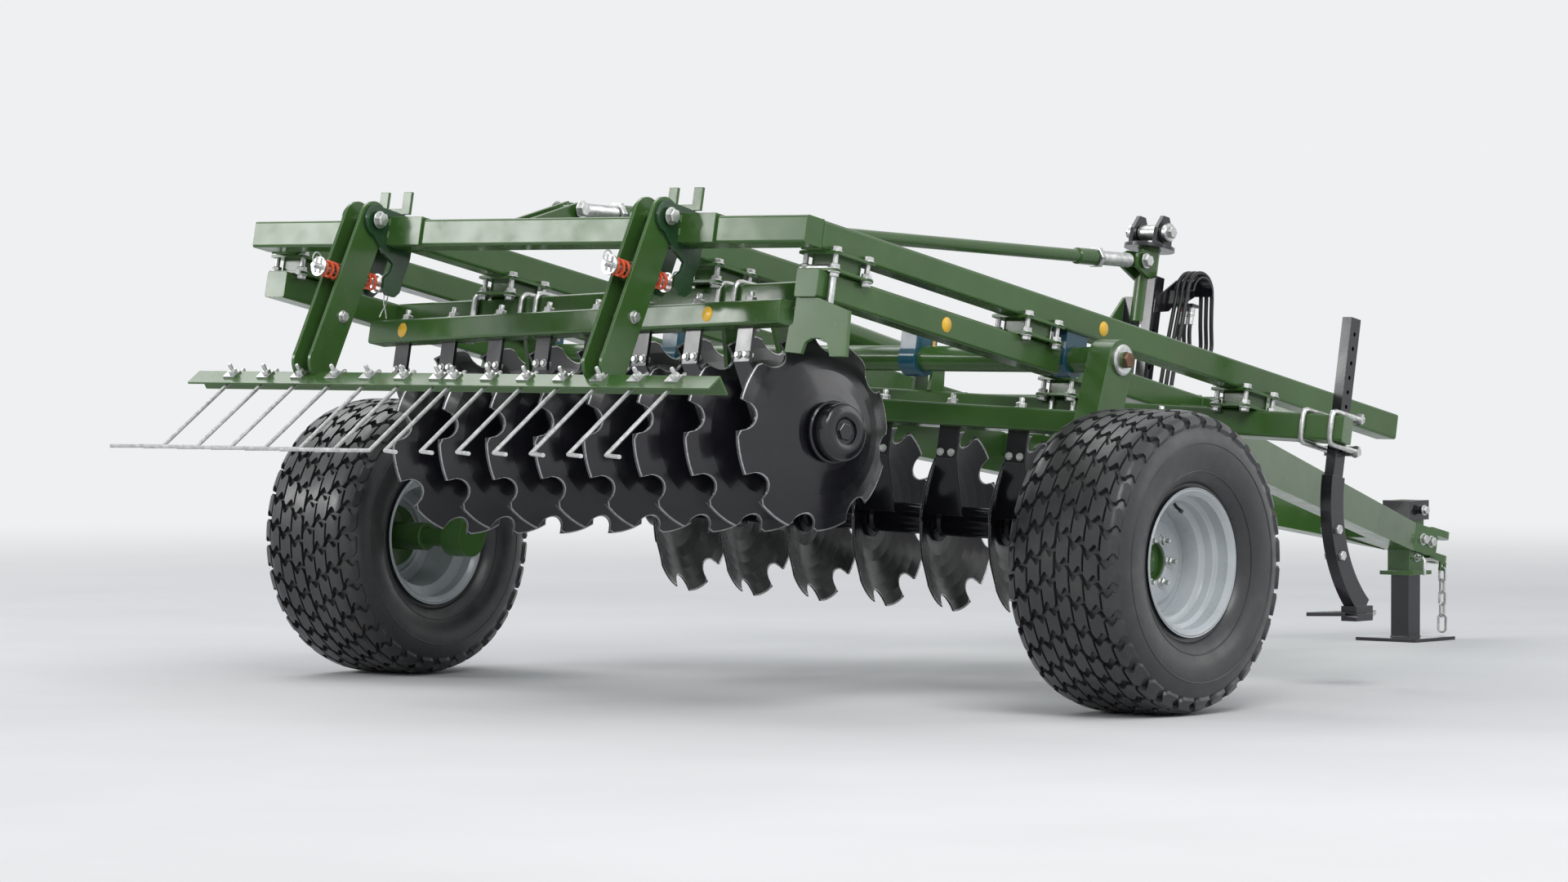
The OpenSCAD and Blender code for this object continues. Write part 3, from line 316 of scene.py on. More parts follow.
def bump(tree, shader, height, strength, distance, normal=None):
    node = tree.nodes.new("ShaderNodeBump")
    node.inputs["Strength"].default_value = strength
    node.inputs["Distance"].default_value = distance
    tree.links.new(height, node.inputs["Height"])
    if normal is not None:
        tree.links.new(normal, node.inputs["Normal"])
    tree.links.new(node.outputs["Normal"], shader.inputs["Normal"])


def paint(name, color, rough=0.24, coat=0.2, dust=DUST, film=0.10, edge_highlight=1.7, shine=0.4):
    """Gloss machine paint: uneven tone, a film of dust, a painted highlight that lightens the edges, and a
    fine orange-peel surface.
    """
    mat, tree, shader = new_material(name, color, rough, coat=coat)
    shader.inputs["Specular IOR Level"].default_value = shine
    place = object_place(tree)
    tone = ramp(tree, noise(tree, place, 2.4), [(0.3, scaled(color, 0.82)), (0.7, scaled(color, 1.16))])
    dusty = ramp(tree, noise(tree, place, 7.0, 8.0, 0.65), [(0.46, grey(0.0)), (0.82, grey(film))])
    normal = rounded(tree, PAINT_EDGE)
    surface = mix(tree, dusty, tone, dust)
    # Painted highlight: the edges are lightened by this factor of the colour, for the sheen of light along
    # them.
    light = tuple(min(1.0, c * edge_highlight + 0.03) for c in color)
    tree.links.new(mix(tree, edge_mask(tree, normal), surface, light), shader.inputs["Base Color"])
    gloss = ramp(tree, noise(tree, place, 11.0, 6.0), [(0.35, grey(rough * 0.75)), (0.75, grey(rough * 1.6))])
    tree.links.new(gloss, shader.inputs["Roughness"])
    bump(tree, shader, noise(tree, place, 240.0, 2.0), 0.04, 0.0004, normal)
    return mat


def plated(name, color, rough):
    """Zinc plating or bare steel: mottled tone and roughness over a fine grain."""
    mat, tree, shader = new_material(name, color, rough, metal=0.92)
    place = object_place(tree)
    tone = ramp(tree, noise(tree, place, 70.0, 6.0), [(0.3, scaled(color, 0.70)), (0.7, scaled(color, 1.15))])
    tree.links.new(tone, shader.inputs["Base Color"])
    gloss = ramp(tree, noise(tree, place, 40.0, 4.0), [(0.3, grey(rough * 0.75)), (0.8, grey(rough * 1.5))])
    tree.links.new(gloss, shader.inputs["Roughness"])
    bump(tree, shader, noise(tree, place, 420.0, 3.0), 0.10, 0.0004, rounded(tree, METAL_EDGE))
    return mat


def rubber(name):
    """Tyre rubber: dark with a dull sheen, and dusty in patches."""
    mat, tree, shader = new_material(name, (0.020, 0.021, 0.024), 0.45, coat=0.3, coat_rough=0.25)
    place = object_place(tree)
    dark, mid, dusty = (0.014, 0.015, 0.018), (0.028, 0.028, 0.029), (0.085, 0.072, 0.055)
    tone = ramp(tree, noise(tree, place, 8.0, 8.0, 0.7), [(0.35, dark), (0.6, mid), (0.88, dusty)])
    tree.links.new(tone, shader.inputs["Base Color"])
    gloss = ramp(tree, noise(tree, place, 18.0, 5.0), [(0.3, grey(0.30)), (0.8, grey(0.58))])
    tree.links.new(gloss, shader.inputs["Roughness"])
    bump(tree, shader, noise(tree, place, 170.0, 6.0, 0.7), 0.25, 0.0012, rounded(tree, RUBBER_EDGE))
    return mat


GREEN = paint("green_paint", (0.044, 0.112, 0.025), 0.20, 0.15)
DARK_GREEN = paint("dark_green_paint", (0.016, 0.056, 0.021))
# Painted shade: the shaft bearings are painted blue-teal for the shade they sit in under the lower frame.
SHADED_TEAL = paint("teal_paint", (0.011, 0.075, 0.115))
BLACK = paint("black_paint", (0.008, 0.008, 0.011), 0.20, 0.3, (0.07, 0.06, 0.06), 0.07, shine=0.5)
# Painted shade: a duller, slightly darker copy of the black paint for the front gang's discs and axle, which
# stand in shade.
SHADED_BLACK = paint("shaded_disc_black", (0.007, 0.007, 0.010), 0.22, 0.08, (0.06, 0.055, 0.055), 0.06, shine=0.28)
HOSE = paint("hose_rubber", (0.012, 0.012, 0.013), 0.36, 0.1, (0.09, 0.08, 0.07), 0.12)
ORANGE = paint("orange_paint", (0.74, 0.085, 0.018), rough=0.24, film=0.06, edge_highlight=1.1)
SILVER = paint("silver_paint", (0.46, 0.49, 0.51), rough=0.30, coat=0.4, film=0.20, edge_highlight=1.25)
YELLOW = paint("yellow_film", (0.86, 0.50, 0.02), rough=0.35, coat=0.3, film=0.03, edge_highlight=1.0)
STEEL = plated("worn_steel", (0.42, 0.42, 0.43), 0.26)
ZINC = plated("zinc_plating", (0.62, 0.63, 0.62), 0.34)
BRASS = plated("brass_fitting", (0.72, 0.50, 0.18), 0.30)
CHROME = plated("chrome_rod", (0.78, 0.78, 0.80), 0.07)
RUST = plated("rusty_bolt", (0.19, 0.115, 0.075), 0.55)
RUBBER = rubber("tyre_rubber")

# The finish of each CAD node that isn't green
NODE_FINISH = {
    "front_axle": SHADED_BLACK, "rear_axle": BLACK, "front_discs": SHADED_BLACK, "rear_discs": BLACK,
    "rear_scrapers": BLACK, "front_scrapers": BLACK, "corner_tine": BLACK, "stand_leg": BLACK,
    "tyre_left": RUBBER, "tyre_right": RUBBER, "rim_left": SILVER, "rim_right": SILVER,
    "hose_rack": BLACK, "hose_inner": HOSE, "hose_middle": HOSE, "hose_outer": HOSE,
    "hose_couplers": ZINC, "harrow_tines": ZINC, "spring_rods": ZINC, "safety_chain": ZINC,
    "harrow_springs": ORANGE, "harrow_brackets": DARK_GREEN, "shaft_bearings": SHADED_TEAL, "lift_rod": CHROME,
}


def finish_nodes():
    for name, obj in nodes.items():
        obj.data.materials.clear()
        obj.data.materials.append(NODE_FINISH.get(name, GREEN))


def repaint(name, finish, inside):
    """Another finish on the faces of a node whose middles, as places in the frame, pass the test."""
    mesh = nodes[name].data
    mesh.materials.append(finish)
    back = FRAME.inverted()
    for face in mesh.polygons:
        if inside(back @ face.center):
            face.material_index = 1


def on_black_mast(spot):
    """The two holed uprights, and all from the collar up."""
    upright = abs(spot.x - MAST_X) < 0.026 and 0.021 < abs(spot.y) < 0.059 and spot.z < 0.440
    return upright or spot.z > COLLAR_Z - 0.001


finish_nodes()
repaint("mast", BLACK, on_black_mast)
repaint("stand_sleeve", BLACK, lambda spot: (FRAME @ spot).z > STAND_HEAD_Z)


# Mesh building
class Part:
    """A piece of the looks. Its mesh grows by closed shapes, each laid at a place, with the finish in use."""

    def __init__(self, name, body, slot, *finishes):
        self.name = name
        self.body = body
        self.slot = slot
        self.finishes = finishes
        self.finish = 0
        self.points = []
        self.faces = []
        self.looks = []

    def mesh(self, place, points, faces):
        base = len(self.points)
        self.points += [place @ Vector(p) for p in points]
        self.faces += [[base + i for i in face] for face in faces]
        self.looks += [self.finish] * len(faces)

    def box(self, place, size):
        x, y, z = (s / 2 for s in size)
        self.prism(place @ at(0, 0, -z), [(-x, -y), (x, -y), (x, y), (-x, y)], size[2])

    def prism(self, place, outline, height):
        """An outline in the local X-Y plane, raised along Z."""
        count = len(outline)
        points = [(x, y, 0) for x, y in outline] + [(x, y, height) for x, y in outline]
        sides = [(i, (i + 1) % count, count + (i + 1) % count, count + i) for i in range(count)]
        caps = [tuple(reversed(range(count))), tuple(range(count, 2 * count))]
        self.mesh(place, points, sides + caps)

    def turned(self, place, profile, sides=24):
        """A profile of (radius, height) steps turned about the local Z axis, closed at both ends."""
        points = []
        for radius, height in profile:
            for j in range(sides):
                a = 2 * math.pi * j / sides
                points.append((radius * math.cos(a), radius * math.sin(a), height))
        self.mesh(place, points, self.skin(len(profile), sides))

    def tube(self, place, line, radius, sides=10):
        """A round bar along a line of points."""
        line = [Vector(p) for p in line]
        points = []
        side = None
        for i, point in enumerate(line):
            side, over = across_line(line, i, side)
            for j in range(sides):
                a = 2 * math.pi * j / sides
                points.append(point + radius * (math.cos(a) * side + math.sin(a) * over))
        self.mesh(place, points, self.skin(len(line), sides))

    def skin(self, rings, sides):
        """The faces over a row of rings, and the two caps."""
        faces = [tuple(reversed(range(sides))), tuple(range((rings - 1) * sides, rings * sides))]
        for i in range(rings - 1):
            for j in range(sides):
                k = (j + 1) % sides
                faces.append((i * sides + j, i * sides + k, (i + 1) * sides + k, (i + 1) * sides + j))
        return faces

    def done(self, smooth=32, replaces=None):
        mesh = bpy.data.meshes.new(self.name)
        mesh.from_pydata(self.points, [], self.faces)
        for finish in self.finishes:
            mesh.materials.append(finish)
        mesh.polygons.foreach_set("material_index", self.looks)
        work = bmesh.new()
        work.from_mesh(mesh)
        bmesh.ops.recalc_face_normals(work, faces=work.faces)
        work.to_mesh(mesh)
        work.free()
        mesh.polygons.foreach_set("use_smooth", [True] * len(mesh.polygons))
        mesh.set_sharp_from_angle(angle=math.radians(smooth))
        obj = bpy.data.objects.new(self.name, mesh)
        bpy.context.scene.collection.objects.link(obj)
        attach(obj, self.body)
        if replaces:
            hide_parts(replaces)
        return obj


# Hoses: smooth rubber along the parked route, from the lower block over the saddle to the couplers
def smooth_line(points, steps=3):
    """A curve through the points, with a few steps between each two."""
    line = []
    for i in range(len(points) - 1):
        a = points[max(i - 1, 0)]
        b, c = points[i], points[i + 1]
        d = points[min(i + 2, len(points) - 1)]
        for k in range(steps):
            t = k / steps
            bend = (c - a) * t + (2 * a - 5 * b + 4 * c - d) * t**2 + (3 * b - a - 3 * c + d) * t**3
            line.append(b + bend / 2)
    line.append(points[-1])
    return line


def make_hose(word):
    name = f"hose_{word}"
    part = Part(f"smooth_{name}", "root", "hose_rubber", HOSE)
    route = [FRAME @ Vector((x, HOSE_Y[word], z)) for x, z in HOSE_ROUTE]
    line = smooth_line(route)
    part.tube(Matrix(), line, HOSE_R, 16)
    hose = part.done(smooth=60, replaces=name)


for hose_word in HOSE_Y:
    make_hose(hose_word)


# Fasteners
WASHER_T = 0.003


def hexagon(part, place, across, height):
    r = across / math.sqrt(3)
    part.turned(place, [(r * 0.94, 0), (r, height * 0.08), (r, height * 0.82), (r * 0.88, height)], 6)


def washer(part, place, radius):
    part.turned(place, [(radius, 0), (radius, WASHER_T * 0.7), (radius * 0.96, WASHER_T)], 20)


def bolt(part, place, across=0.030, height=0.013):
    washer(part, place, across * 0.72)
    hexagon(part, place @ at(0, 0, WASHER_T), across, height)


def stud_nut(part, place, across=0.030, over=0.012):
    """A washer, a nut and the end of its stud, standing on a face."""
    radius = across * 0.3
    bolt(part, place, across, across * 0.5)
    top = WASHER_T + across * 0.5
    part.turned(place @ at(0, 0, top), [(radius, 0), (radius, over * 0.8), (radius * 0.8, over)], 14)


def u_bolt(part, place, half, drop, radius=0.008):
    """A U-bolt over a beam's top, legs at local X of plus and minus half, nuts below at a depth of drop."""
    bend = 0.022
    thread = 0.030
    corner = [math.radians(a) for a in (0, 22, 45, 68, 90)]
    left = [(-half + bend - bend * math.cos(a), 0, radius - bend + bend * math.sin(a)) for a in corner]
    right = [(-x, 0, z) for x, _, z in reversed(left)]
    foot = -drop - thread
    part.tube(place, [(-half, 0, foot)] + left + right + [(half, 0, foot)], radius, 10)
    for x in (-half, half):
        bolt(part, place @ at(x, 0, -drop) @ DOWN, 0.027, 0.013)


def weld(part, place, line, radius=0.004):
    """A bead along a line, with the ripple of its passes."""
    line = [Vector(p) for p in line]
    points = []
    for a, b in zip(line, line[1:]):
        steps = max(2, int((b - a).length / 0.010))
        points += [a + (b - a) * i / steps for i in range(steps)]
    points.append(line[-1])
    sides = 6
    rings = []
    for i, point in enumerate(points):
        side, over = across_line(points, i)
        size = radius * (1.0 if i % 2 else 0.78)
        for j in range(sides):
            a = 2 * math.pi * j / sides
            rings.append(point + size * (math.cos(a) * side + math.sin(a) * over))
    part.mesh(place, rings, part.skin(len(points), sides))


# Upper and lower frame: the welds, and the bolted flanges above and below the spacers
def make_frame_welds():
    part = Part("frame_welds", "root", "green_paint", GREEN)
    inset = 0.006
    high, low = -inset, -TUBE + inset
    reach = TUBE / 2 - inset
    cross_end = CROSS_X + TUBE
    for y in (-SIDE_Y, -INNER_Y, INNER_Y, SIDE_Y):
        for side in (-1, 1):
            edge = y + side * TUBE / 2
            weld(part, FRAME, [(TUBE, edge, high), (TUBE, edge, low)])
        for z in (0, -TUBE):
            weld(part, FRAME, [(TUBE, y - reach, z), (TUBE, y + reach, z)])
    for y in (-SIDE_Y + TUBE / 2, SIDE_Y - TUBE / 2):
        for x in (CROSS_X, cross_end):
            weld(part, FRAME, [(x, y, high), (x, y, low)])
        for z in (0, -TUBE):
            weld(part, FRAME, [(CROSS_X + inset, y, z), (cross_end - inset, y, z)])
    for y in (-INNER_Y, INNER_Y):
        for side in (-1, 1):
            edge = y + side * TUBE / 2
            weld(part, FRAME, [(CROSS_X, edge, high), (CROSS_X, edge, low)])
        weld(part, FRAME, [(CROSS_X, y - reach, 0), (CROSS_X, y + reach, 0)])
    part.done()


def spacer_places():
    """Where a spacer stands between the two frames, as (x, y)."""
    places = []
    for side in (-1, 1):
        for x in (LOWER_BACK + SPACER_LEN, LOWER_BACK + LOWER_LEN - SPACER_LEN):
            places.append((x, side * SIDE_Y))
        places.append((rear_beam_x(side * INNER_Y), side * INNER_Y))
        places.append((front_beam_x(side * INNER_Y), side * INNER_Y))
        places.append((front_beam_x(side * SIDE_Y), side * SIDE_Y))
    return places


def make_frame_clamps():
    part = Part("frame_clamps", "root", "green_paint", GREEN, ZINC)
    flange_x, flange_y, flange_t = 0.180, 0.132, 0.008
    stud_x, stud_y, stud_r = 0.072, 0.053, 0.008
    nut = (0.026, 0.012)
    low, high = LOWER_TOP, -TUBE
    for x, y in spacer_places():
        for z in (-TUBE - flange_t / 2, LOWER_TOP + flange_t / 2):
            part.finish = 0
            part.box(FRAME @ at(x, y, z), (flange_x, flange_y, flange_t))
        part.finish = 1
        for dx in (-stud_x, stud_x):
            for dy in (-stud_y, stud_y):
                stud = FRAME @ at(x + dx, y + dy, low)
                part.turned(stud, [(stud_r, 0), (stud_r, high - low)], 12)
                bolt(part, stud @ at(0, 0, high - low), *nut)
                bolt(part, stud @ DOWN, *nut)
                bolt(part, stud @ at(0, 0, flange_t), *nut)
    part.done()


# Disc gangs
def notch_outline(steps=18):
    """Angle and radius along one disc's scalloped edge."""
    start = 2 * math.asin(NOTCH_R / (2 * DISC_R))
    outline = []
    for n in range(NOTCHES):
        middle = 2 * math.pi * n / NOTCHES
        for i in range(steps):
            a = -start + 2 * start * i / steps
            inner = DISC_R * math.cos(a) - math.sqrt(max(0.0, NOTCH_R**2 - (DISC_R * math.sin(a)) ** 2))
            outline.append((middle + a, inner))
        gap = 2 * math.pi / NOTCHES - 2 * start
        for i in range(8):
            outline.append((middle + start + gap * i / 8, DISC_R))
    return outline


def dish_at(r):
    return 0.0 if r <= FLAT_R else DISH * ((r - FLAT_R) / (DISC_R - FLAT_R)) ** 1.6


def edge_strip(part, place, lift, outline, width):
    """The ground bevel that follows a disc's edge, on one of its faces."""
    points = []
    thick = 0.0006 if lift > 0 else -0.0006
    for a, r in outline:
        for radius, up in ((r, 0), (r - width, 0), (r - width, thick), (r, thick)):
            points.append((radius * math.cos(a), radius * math.sin(a), dish_at(radius) + lift + up))
    count = len(outline)
    faces = []
    for i in range(count):
        j = (i + 1) % count
        for k in range(4):
            faces.append((4 * i + k, 4 * i + (k + 1) % 4, 4 * j + (k + 1) % 4, 4 * j + k))
    part.mesh(place, points, faces)


# The big washer and the recessed cap that close a gang's open end, as (radius, height above the disc)
END_WASHER = ((0.0865, 0.0115), (0.0890, 0.0140), (0.0890, 0.0205), (0.0850, 0.0235), (0.0500, 0.0240))
END_CAP = (
    (0.0640, 0.0230), (0.0670, 0.0300), (0.0700, 0.0345), (0.0810, 0.0370), (0.0835, 0.0400),
    (0.0835, 0.0600), (0.0810, 0.0670), (0.0740, 0.0740), (0.0600, 0.0780), (0.0420, 0.0785),
    (0.0380, 0.0765), (0.0350, 0.0670),
)
# The washer and the axle's tip on the gang's bolted end
INNER_WASHER = ((0.068, 0), (0.071, 0.006), (0.068, 0.012))
AXLE_END = ((0.028, 0.004), (0.028, 0.014), (0.023, 0.020), (0.015, 0.020), (0.012, 0.012))


def make_gang_details(name, body, gang, facing):
    part = Part(name, body, "black_paint", BLACK, STEEL, ZINC)
    line = gang @ at(0, 0, -GANG_DROP) @ facing
    outline = notch_outline()
    half = (DISCS - 1) / 2 * PITCH
    for i in range(DISCS):
        place = line @ at(0, 0, -half + i * PITCH)
        part.finish = 1
        edge_strip(part, place, DISC_T, outline, 0.005)
        edge_strip(part, place, 0, outline, 0.004)
        part.finish = 0
        if i < DISCS - 1:
            for x, y in four_around(SPOOL_BOLTS):
                for z, way in ((DISC_T + SPOOL_FLANGE, Matrix()), (PITCH - SPOOL_FLANGE, DOWN)):
                    hexagon(part, place @ at(x, y, z) @ way, 0.014, 0.007)
    outer = line @ at(0, 0, -half) @ DOWN
    part.turned(outer, END_WASHER, 48)
    part.turned(outer, END_CAP, 48)
    hexagon(part, outer @ at(0, 0, 0.0655), 0.046, 0.011)
    inner = line @ at(0, 0, half + DISC_T + 0.066)
    part.turned(inner @ at(0, 0, -0.056), INNER_WASHER, 36)
    hexagon(part, inner @ at(0, 0, -0.024), 0.074, 0.030)
    part.turned(inner, AXLE_END, 24)
    part.finish = 2
    for x, y in four_around(END_BOLTS):
        bolt(part, inner @ at(x, y, -0.022), 0.014, 0.006)
    part.done()


def make_hanger_fasteners(name, gang, beam_set, shift):
    part = Part(name, "root", "zinc", ZINC)
    saddle = TUBE / 2 + 0.009
    apart = 0.036
    nipple = [(0.006, 0), (0.006, 0.010), (0.003, 0.014), (0.004, 0.018)]
    for y in BEARINGS:
        for dy in (-apart, apart):
            u_bolt(part, gang @ at(beam_set, y + shift + dy, LOWER_TOP), saddle, TUBE + FOOT_T)
        housing = gang @ at(0, y + shift, -GANG_DROP)
        for side, facing in SIDES:
            face = housing @ at(0, side * BEARING_HALF, 0) @ facing
            for x, z in four_around(BEARING_BOLTS):
                bolt(part, face @ at(x, z, 0), 0.016, 0.007)
        part.turned(housing @ at(0, 0, 0.066), nipple, 10)
    part.done()


# Scraper beams: the nut on top of each scraper, and the bolts of its blade
def make_scraper_fasteners(name, gang, toward):
    part = Part(name, "root", "zinc", ZINC)
    top = -SCRAPER_DROP
    for i in range(DISCS):
        y = (i - (DISCS - 1) / 2) * PITCH + toward * SCRAPER_SET
        stud_nut(part, gang @ at(-SCRAPER_BACK, y, top), 0.030, 0.016)
        for side, facing in ((-1, REARWARD), (1, FORWARD)):
            shank = gang @ at(-SCRAPER_BACK + side * 0.005, y, top - SCRAPER_BEAM)
            for dy in (-0.018, 0.018):
                bolt(part, shank @ at(0, dy, -0.080) @ facing, 0.017, 0.007)
    part.done()


# Tyres: an implement tread of slanted blocks that meet in a V. Sections are (radius, place across)
CARCASS = (
    (0.1975, 0.1525), (0.227, 0.1565), (0.236, 0.170), (0.275, 0.194), (0.300, 0.199), (0.325, 0.202),
    (0.350, 0.1995), (0.375, 0.193), (0.398, 0.178), (0.413, 0.150), (0.421, 0.110), (0.4245, 0.060),
    (0.4255, 0.0),
)
CROWN = ((0.437, 0.0), (0.437, 0.101), (0.433, 0.136), (0.419, 0.176), (0.387, 0.196), (0.362, 0.200))
INSIDE = ((0.398, 0.0), (0.392, 0.120), (0.360, 0.176), (0.300, 0.184), (0.240, 0.160), (0.1975, 0.140))
SIDE_RINGS = ((0.262, 0.1865), (0.342, 0.2005))


def crown_at(distance):
    """Radius and half width at a distance from the middle, over the tread and down the shoulder."""
    for (r0, w0), (r1, w1) in zip(CROWN, CROWN[1:]):
        length = math.hypot(r1 - r0, w1 - w0)
        if distance <= length:
            share = distance / length
            return r0 + (r1 - r0) * share, w0 + (w1 - w0) * share
        distance -= length
    return CROWN[-1]


# One repeat of the tread on one half: corners as (along the pitch, distance from the middle)
BLOCKS = (
    ((0.02, 0.005), (0.72, 0.005), (0.86, 0.046), (0.16, 0.046)),
    ((0.30, 0.053), (0.99, 0.053), (1.13, 0.095), (0.44, 0.095)),
    ((0.58, 0.102), (1.26, 0.102), (1.42, 0.146), (0.74, 0.146)),
    ((0.88, 0.153), (1.56, 0.153), (1.66, 0.207), (1.06, 0.207)),
)
TREAD_PITCHES = 32
TREAD_DEPTH = 0.012
TREAD_WAVE = 0.15
# A block's foot: how far it sinks into the carcass, how much it spreads, and how its sides draw in
FOOT_SINK = 0.004
FOOT_SPREAD = 1.09
SHOULDER = 0.17
SHOULDER_DRAW = 0.55


def tread_block(part, place, start, block, half):
    """One block: a patch of the crown's surface with tapering sides down to the carcass."""
    across, round_steps = 6, 3
    points = []
    step = 2 * math.pi / TREAD_PITCHES
    middle = [sum(c[k] for c in block) / 4 for k in (0, 1)]
    for level, spread in ((0.0, 1.0), (-TREAD_DEPTH - FOOT_SINK, FOOT_SPREAD)):
        for i in range(across + 1):
            v = i / across
            for j in range(round_steps + 1):
                u = j / round_steps
                low = [block[0][k] + (block[1][k] - block[0][k]) * u for k in (0, 1)]
                high = [block[3][k] + (block[2][k] - block[3][k]) * u for k in (0, 1)]
                spot = [low[k] + (high[k] - low[k]) * v for k in (0, 1)]
                spot = [middle[k] + (spot[k] - middle[k]) * spread for k in (0, 1)]
                spot[0] += TREAD_WAVE * math.sin(2 * math.pi * v)
                radius, width = crown_at(max(0.0, spot[1]))
                a = (start + spot[0]) * step
                radius += level
                if width > SHOULDER:
                    width += level * SHOULDER_DRAW
                points.append((radius * math.cos(a), radius * math.sin(a), half * width))
    row = round_steps + 1
    count = (across + 1) * row
    faces = []
    for i in range(across):
        for j in range(round_steps):
            a = i * row + j
            faces.append((a, a + 1, a + row + 1, a + row))
            faces.append((count + a, count + a + row, count + a + row + 1, count + a + 1))
    rim = list(range(row)) + [i * row + round_steps for i in range(1, across + 1)]
    rim += [across * row + j for j in range(round_steps - 1, -1, -1)]
    rim += [i * row for i in range(across - 1, 0, -1)]
    for a, b in zip(rim, rim[1:] + rim[:1]):
        faces.append((a, count + a, count + b, b))
    part.mesh(place, points, faces)


def wheel_place(side):
    """A wheel's middle, with the local Z axis pointing outwards."""
    return at(AXLE_X, side * TRACK / 2, TYRE_R) @ turn("X", -90 * side)


def make_tyre(side, word):
    part = Part(f"tread_tyre_{word}", f"wheel_{word}", "tyre", RUBBER)
    place = wheel_place(side)
    loop = list(CARCASS) + [(r, -w) for r, w in reversed(CARCASS[:-1])]
    loop += [(r, -w) for r, w in reversed(INSIDE)] + [(r, w) for r, w in INSIDE[1:]]
    ring_of(part, place, loop, 96)
    for n in range(TREAD_PITCHES):
        for half, shift in ((1, 0.0), (-1, 0.5)):
            for block in BLOCKS:
                tread_block(part, place, n + shift, block, half)
    for radius, width in SIDE_RINGS:
        for half in (-1, 1):
            part.tube(place, [(x, y, half * width) for x, y in circle(radius, 96)], 0.0022, 6)
    part.done(smooth=38, replaces=f"tyre_{word}")


# Wheels: a stepped rim with the plate in it, the hub behind the plate, the wheel nuts and the valve
RIM_LINE = (
    (0.2150, 0.1640), (0.2135, 0.1660), (0.2110, 0.1650), (0.2050, 0.1590), (0.1975, 0.1530),
    (0.1970, 0.1200), (0.1955, 0.1165), (0.1840, 0.1105), (0.1820, 0.1070), (0.1820, 0.0850),
    (0.1800, 0.0815), (0.1655, 0.0735), (0.1630, 0.0690), (0.1630, -0.1030), (0.1650, -0.1070),
    (0.1955, -0.1190), (0.1970, -0.1230), (0.1975, -0.1530), (0.2050, -0.1590), (0.2110, -0.1650),
    (0.2135, -0.1660), (0.2150, -0.1640),
)
DISC_LINE = (
    (0.056, 0.029), (0.058, 0.031), (0.116, 0.031), (0.121, 0.029), (0.124, 0.020), (0.128, 0.017),
    (0.158, 0.017), (0.158, 0.009), (0.124, 0.009), (0.118, 0.013), (0.114, 0.023), (0.056, 0.023),
)
HUB_LINE = (
    (0.0303, -0.051), (0.0303, -0.130), (0.042, -0.130), (0.044, -0.127), (0.044, 0.009),
    (0.094, 0.009), (0.096, 0.011), (0.096, 0.0225), (0.053, 0.0225), (0.051, 0.004), (0.043, 0.004),
    (0.039, 0.013), (0.034, 0.016), (0.012, 0.017),
)
RIM_THICK = 0.006
DISC_FACE = 0.031
STUD_CIRCLE = 0.069
STUDS = 6
STUD_TURN = -2
VALVE_TURN = 79


def ring_of(part, place, loop, sides):
    """A closed section of (radius, place across) turned about the wheel's axis."""
    points = []
    for r, w in loop:
        for j in range(sides):
            a = 2 * math.pi * j / sides
            points.append((r * math.cos(a), r * math.sin(a), w))
    faces = []
    for i in range(len(loop)):
        for j in range(sides):
            k = (j + 1) % sides
            n = (i + 1) % len(loop)
            faces.append((i * sides + j, i * sides + k, n * sides + k, n * sides + j))
    part.mesh(place, points, faces)


def make_wheel(side, word):
    place = wheel_place(side)
    rim = Part(f"dressed_rim_{word}", f"wheel_{word}", "silver_paint", SILVER)
    inner = [(r - RIM_THICK, w) for r, w in reversed(RIM_LINE)]
    ring_of(rim, place, list(RIM_LINE) + inner, 96)
    ring_of(rim, place, DISC_LINE, 72)
    rim.done(replaces=f"rim_{word}")
    hub = Part(f"dressed_hub_{word}", f"wheel_{word}", "green_paint", GREEN)
    hub.turned(place, HUB_LINE, 48)
    hub.done(replaces=f"hub_{word}")
    part = Part(f"wheel_hardware_{word}", f"wheel_{word}", "zinc", ZINC, BLACK)
    for n in range(STUDS):
        a = math.radians(360 / STUDS * n + STUD_TURN)
        x, y = STUD_CIRCLE * math.cos(a), STUD_CIRCLE * math.sin(a)
        stud_nut(part, place @ at(x, y, DISC_FACE), 0.024, 0.014)
    part.finish = 1
    valve = place @ turn("Z", VALVE_TURN)
    part.tube(valve, [(0.171, 0, 0.074), (0.158, 0, 0.088), (0.147, 0, 0.106)], 0.005, 12)
    part.tube(valve, [(0.150, 0, 0.100), (0.146, 0, 0.108)], 0.0062, 12)
    part.done()


# Tine harrow: bolts, the linch pins with their rings, a clip, and the clamps of the tines
def make_harrow_fasteners():
    part = Part("harrow_fasteners", "root", "zinc", ZINC)
    for side in (-1, 1):
        y = side * HARROW_Y
        for end, facing in SIDES:
            bolt(part, FRAME @ at(ARM_TOP_X, y + end * 0.0605, ARM_TOP_Z) @ facing, 0.036, 0.016)
            bolt(part, FRAME @ at(ARM_BOLT[0], y + end * 0.0375, ARM_BOLT[1]) @ facing, 0.026, 0.011)
        for rod_x in (ROD_FRONT_X - 0.016, ROD_REAR_X + 0.014):
            ring = [(x, 0, z) for x, z in circle(0.017, 18)]
            part.tube(FRAME @ at(rod_x, y, SPRING_Z + 0.022), ring, 0.0022, 6)
            part.tube(FRAME @ at(rod_x, y, SPRING_Z), [(0, 0, -0.020), (0, 0, 0.026)], 0.004, 8)
    clip = FRAME @ at(ROD_FRONT_X - 0.010, HARROW_Y, SPRING_Z - 0.018)
    for way in (-1, 1):
        leg = [(0, 0, 0), (way * 0.010, 0.002 * way, -0.012), (way * 0.007, 0.002 * way, -0.034)]
        leg += [(-way * 0.006, 0.002 * way, -0.058), (-way * 0.013, 0.002 * way, -0.076)]
        part.tube(clip, leg, 0.0018, 8)
    part.done()


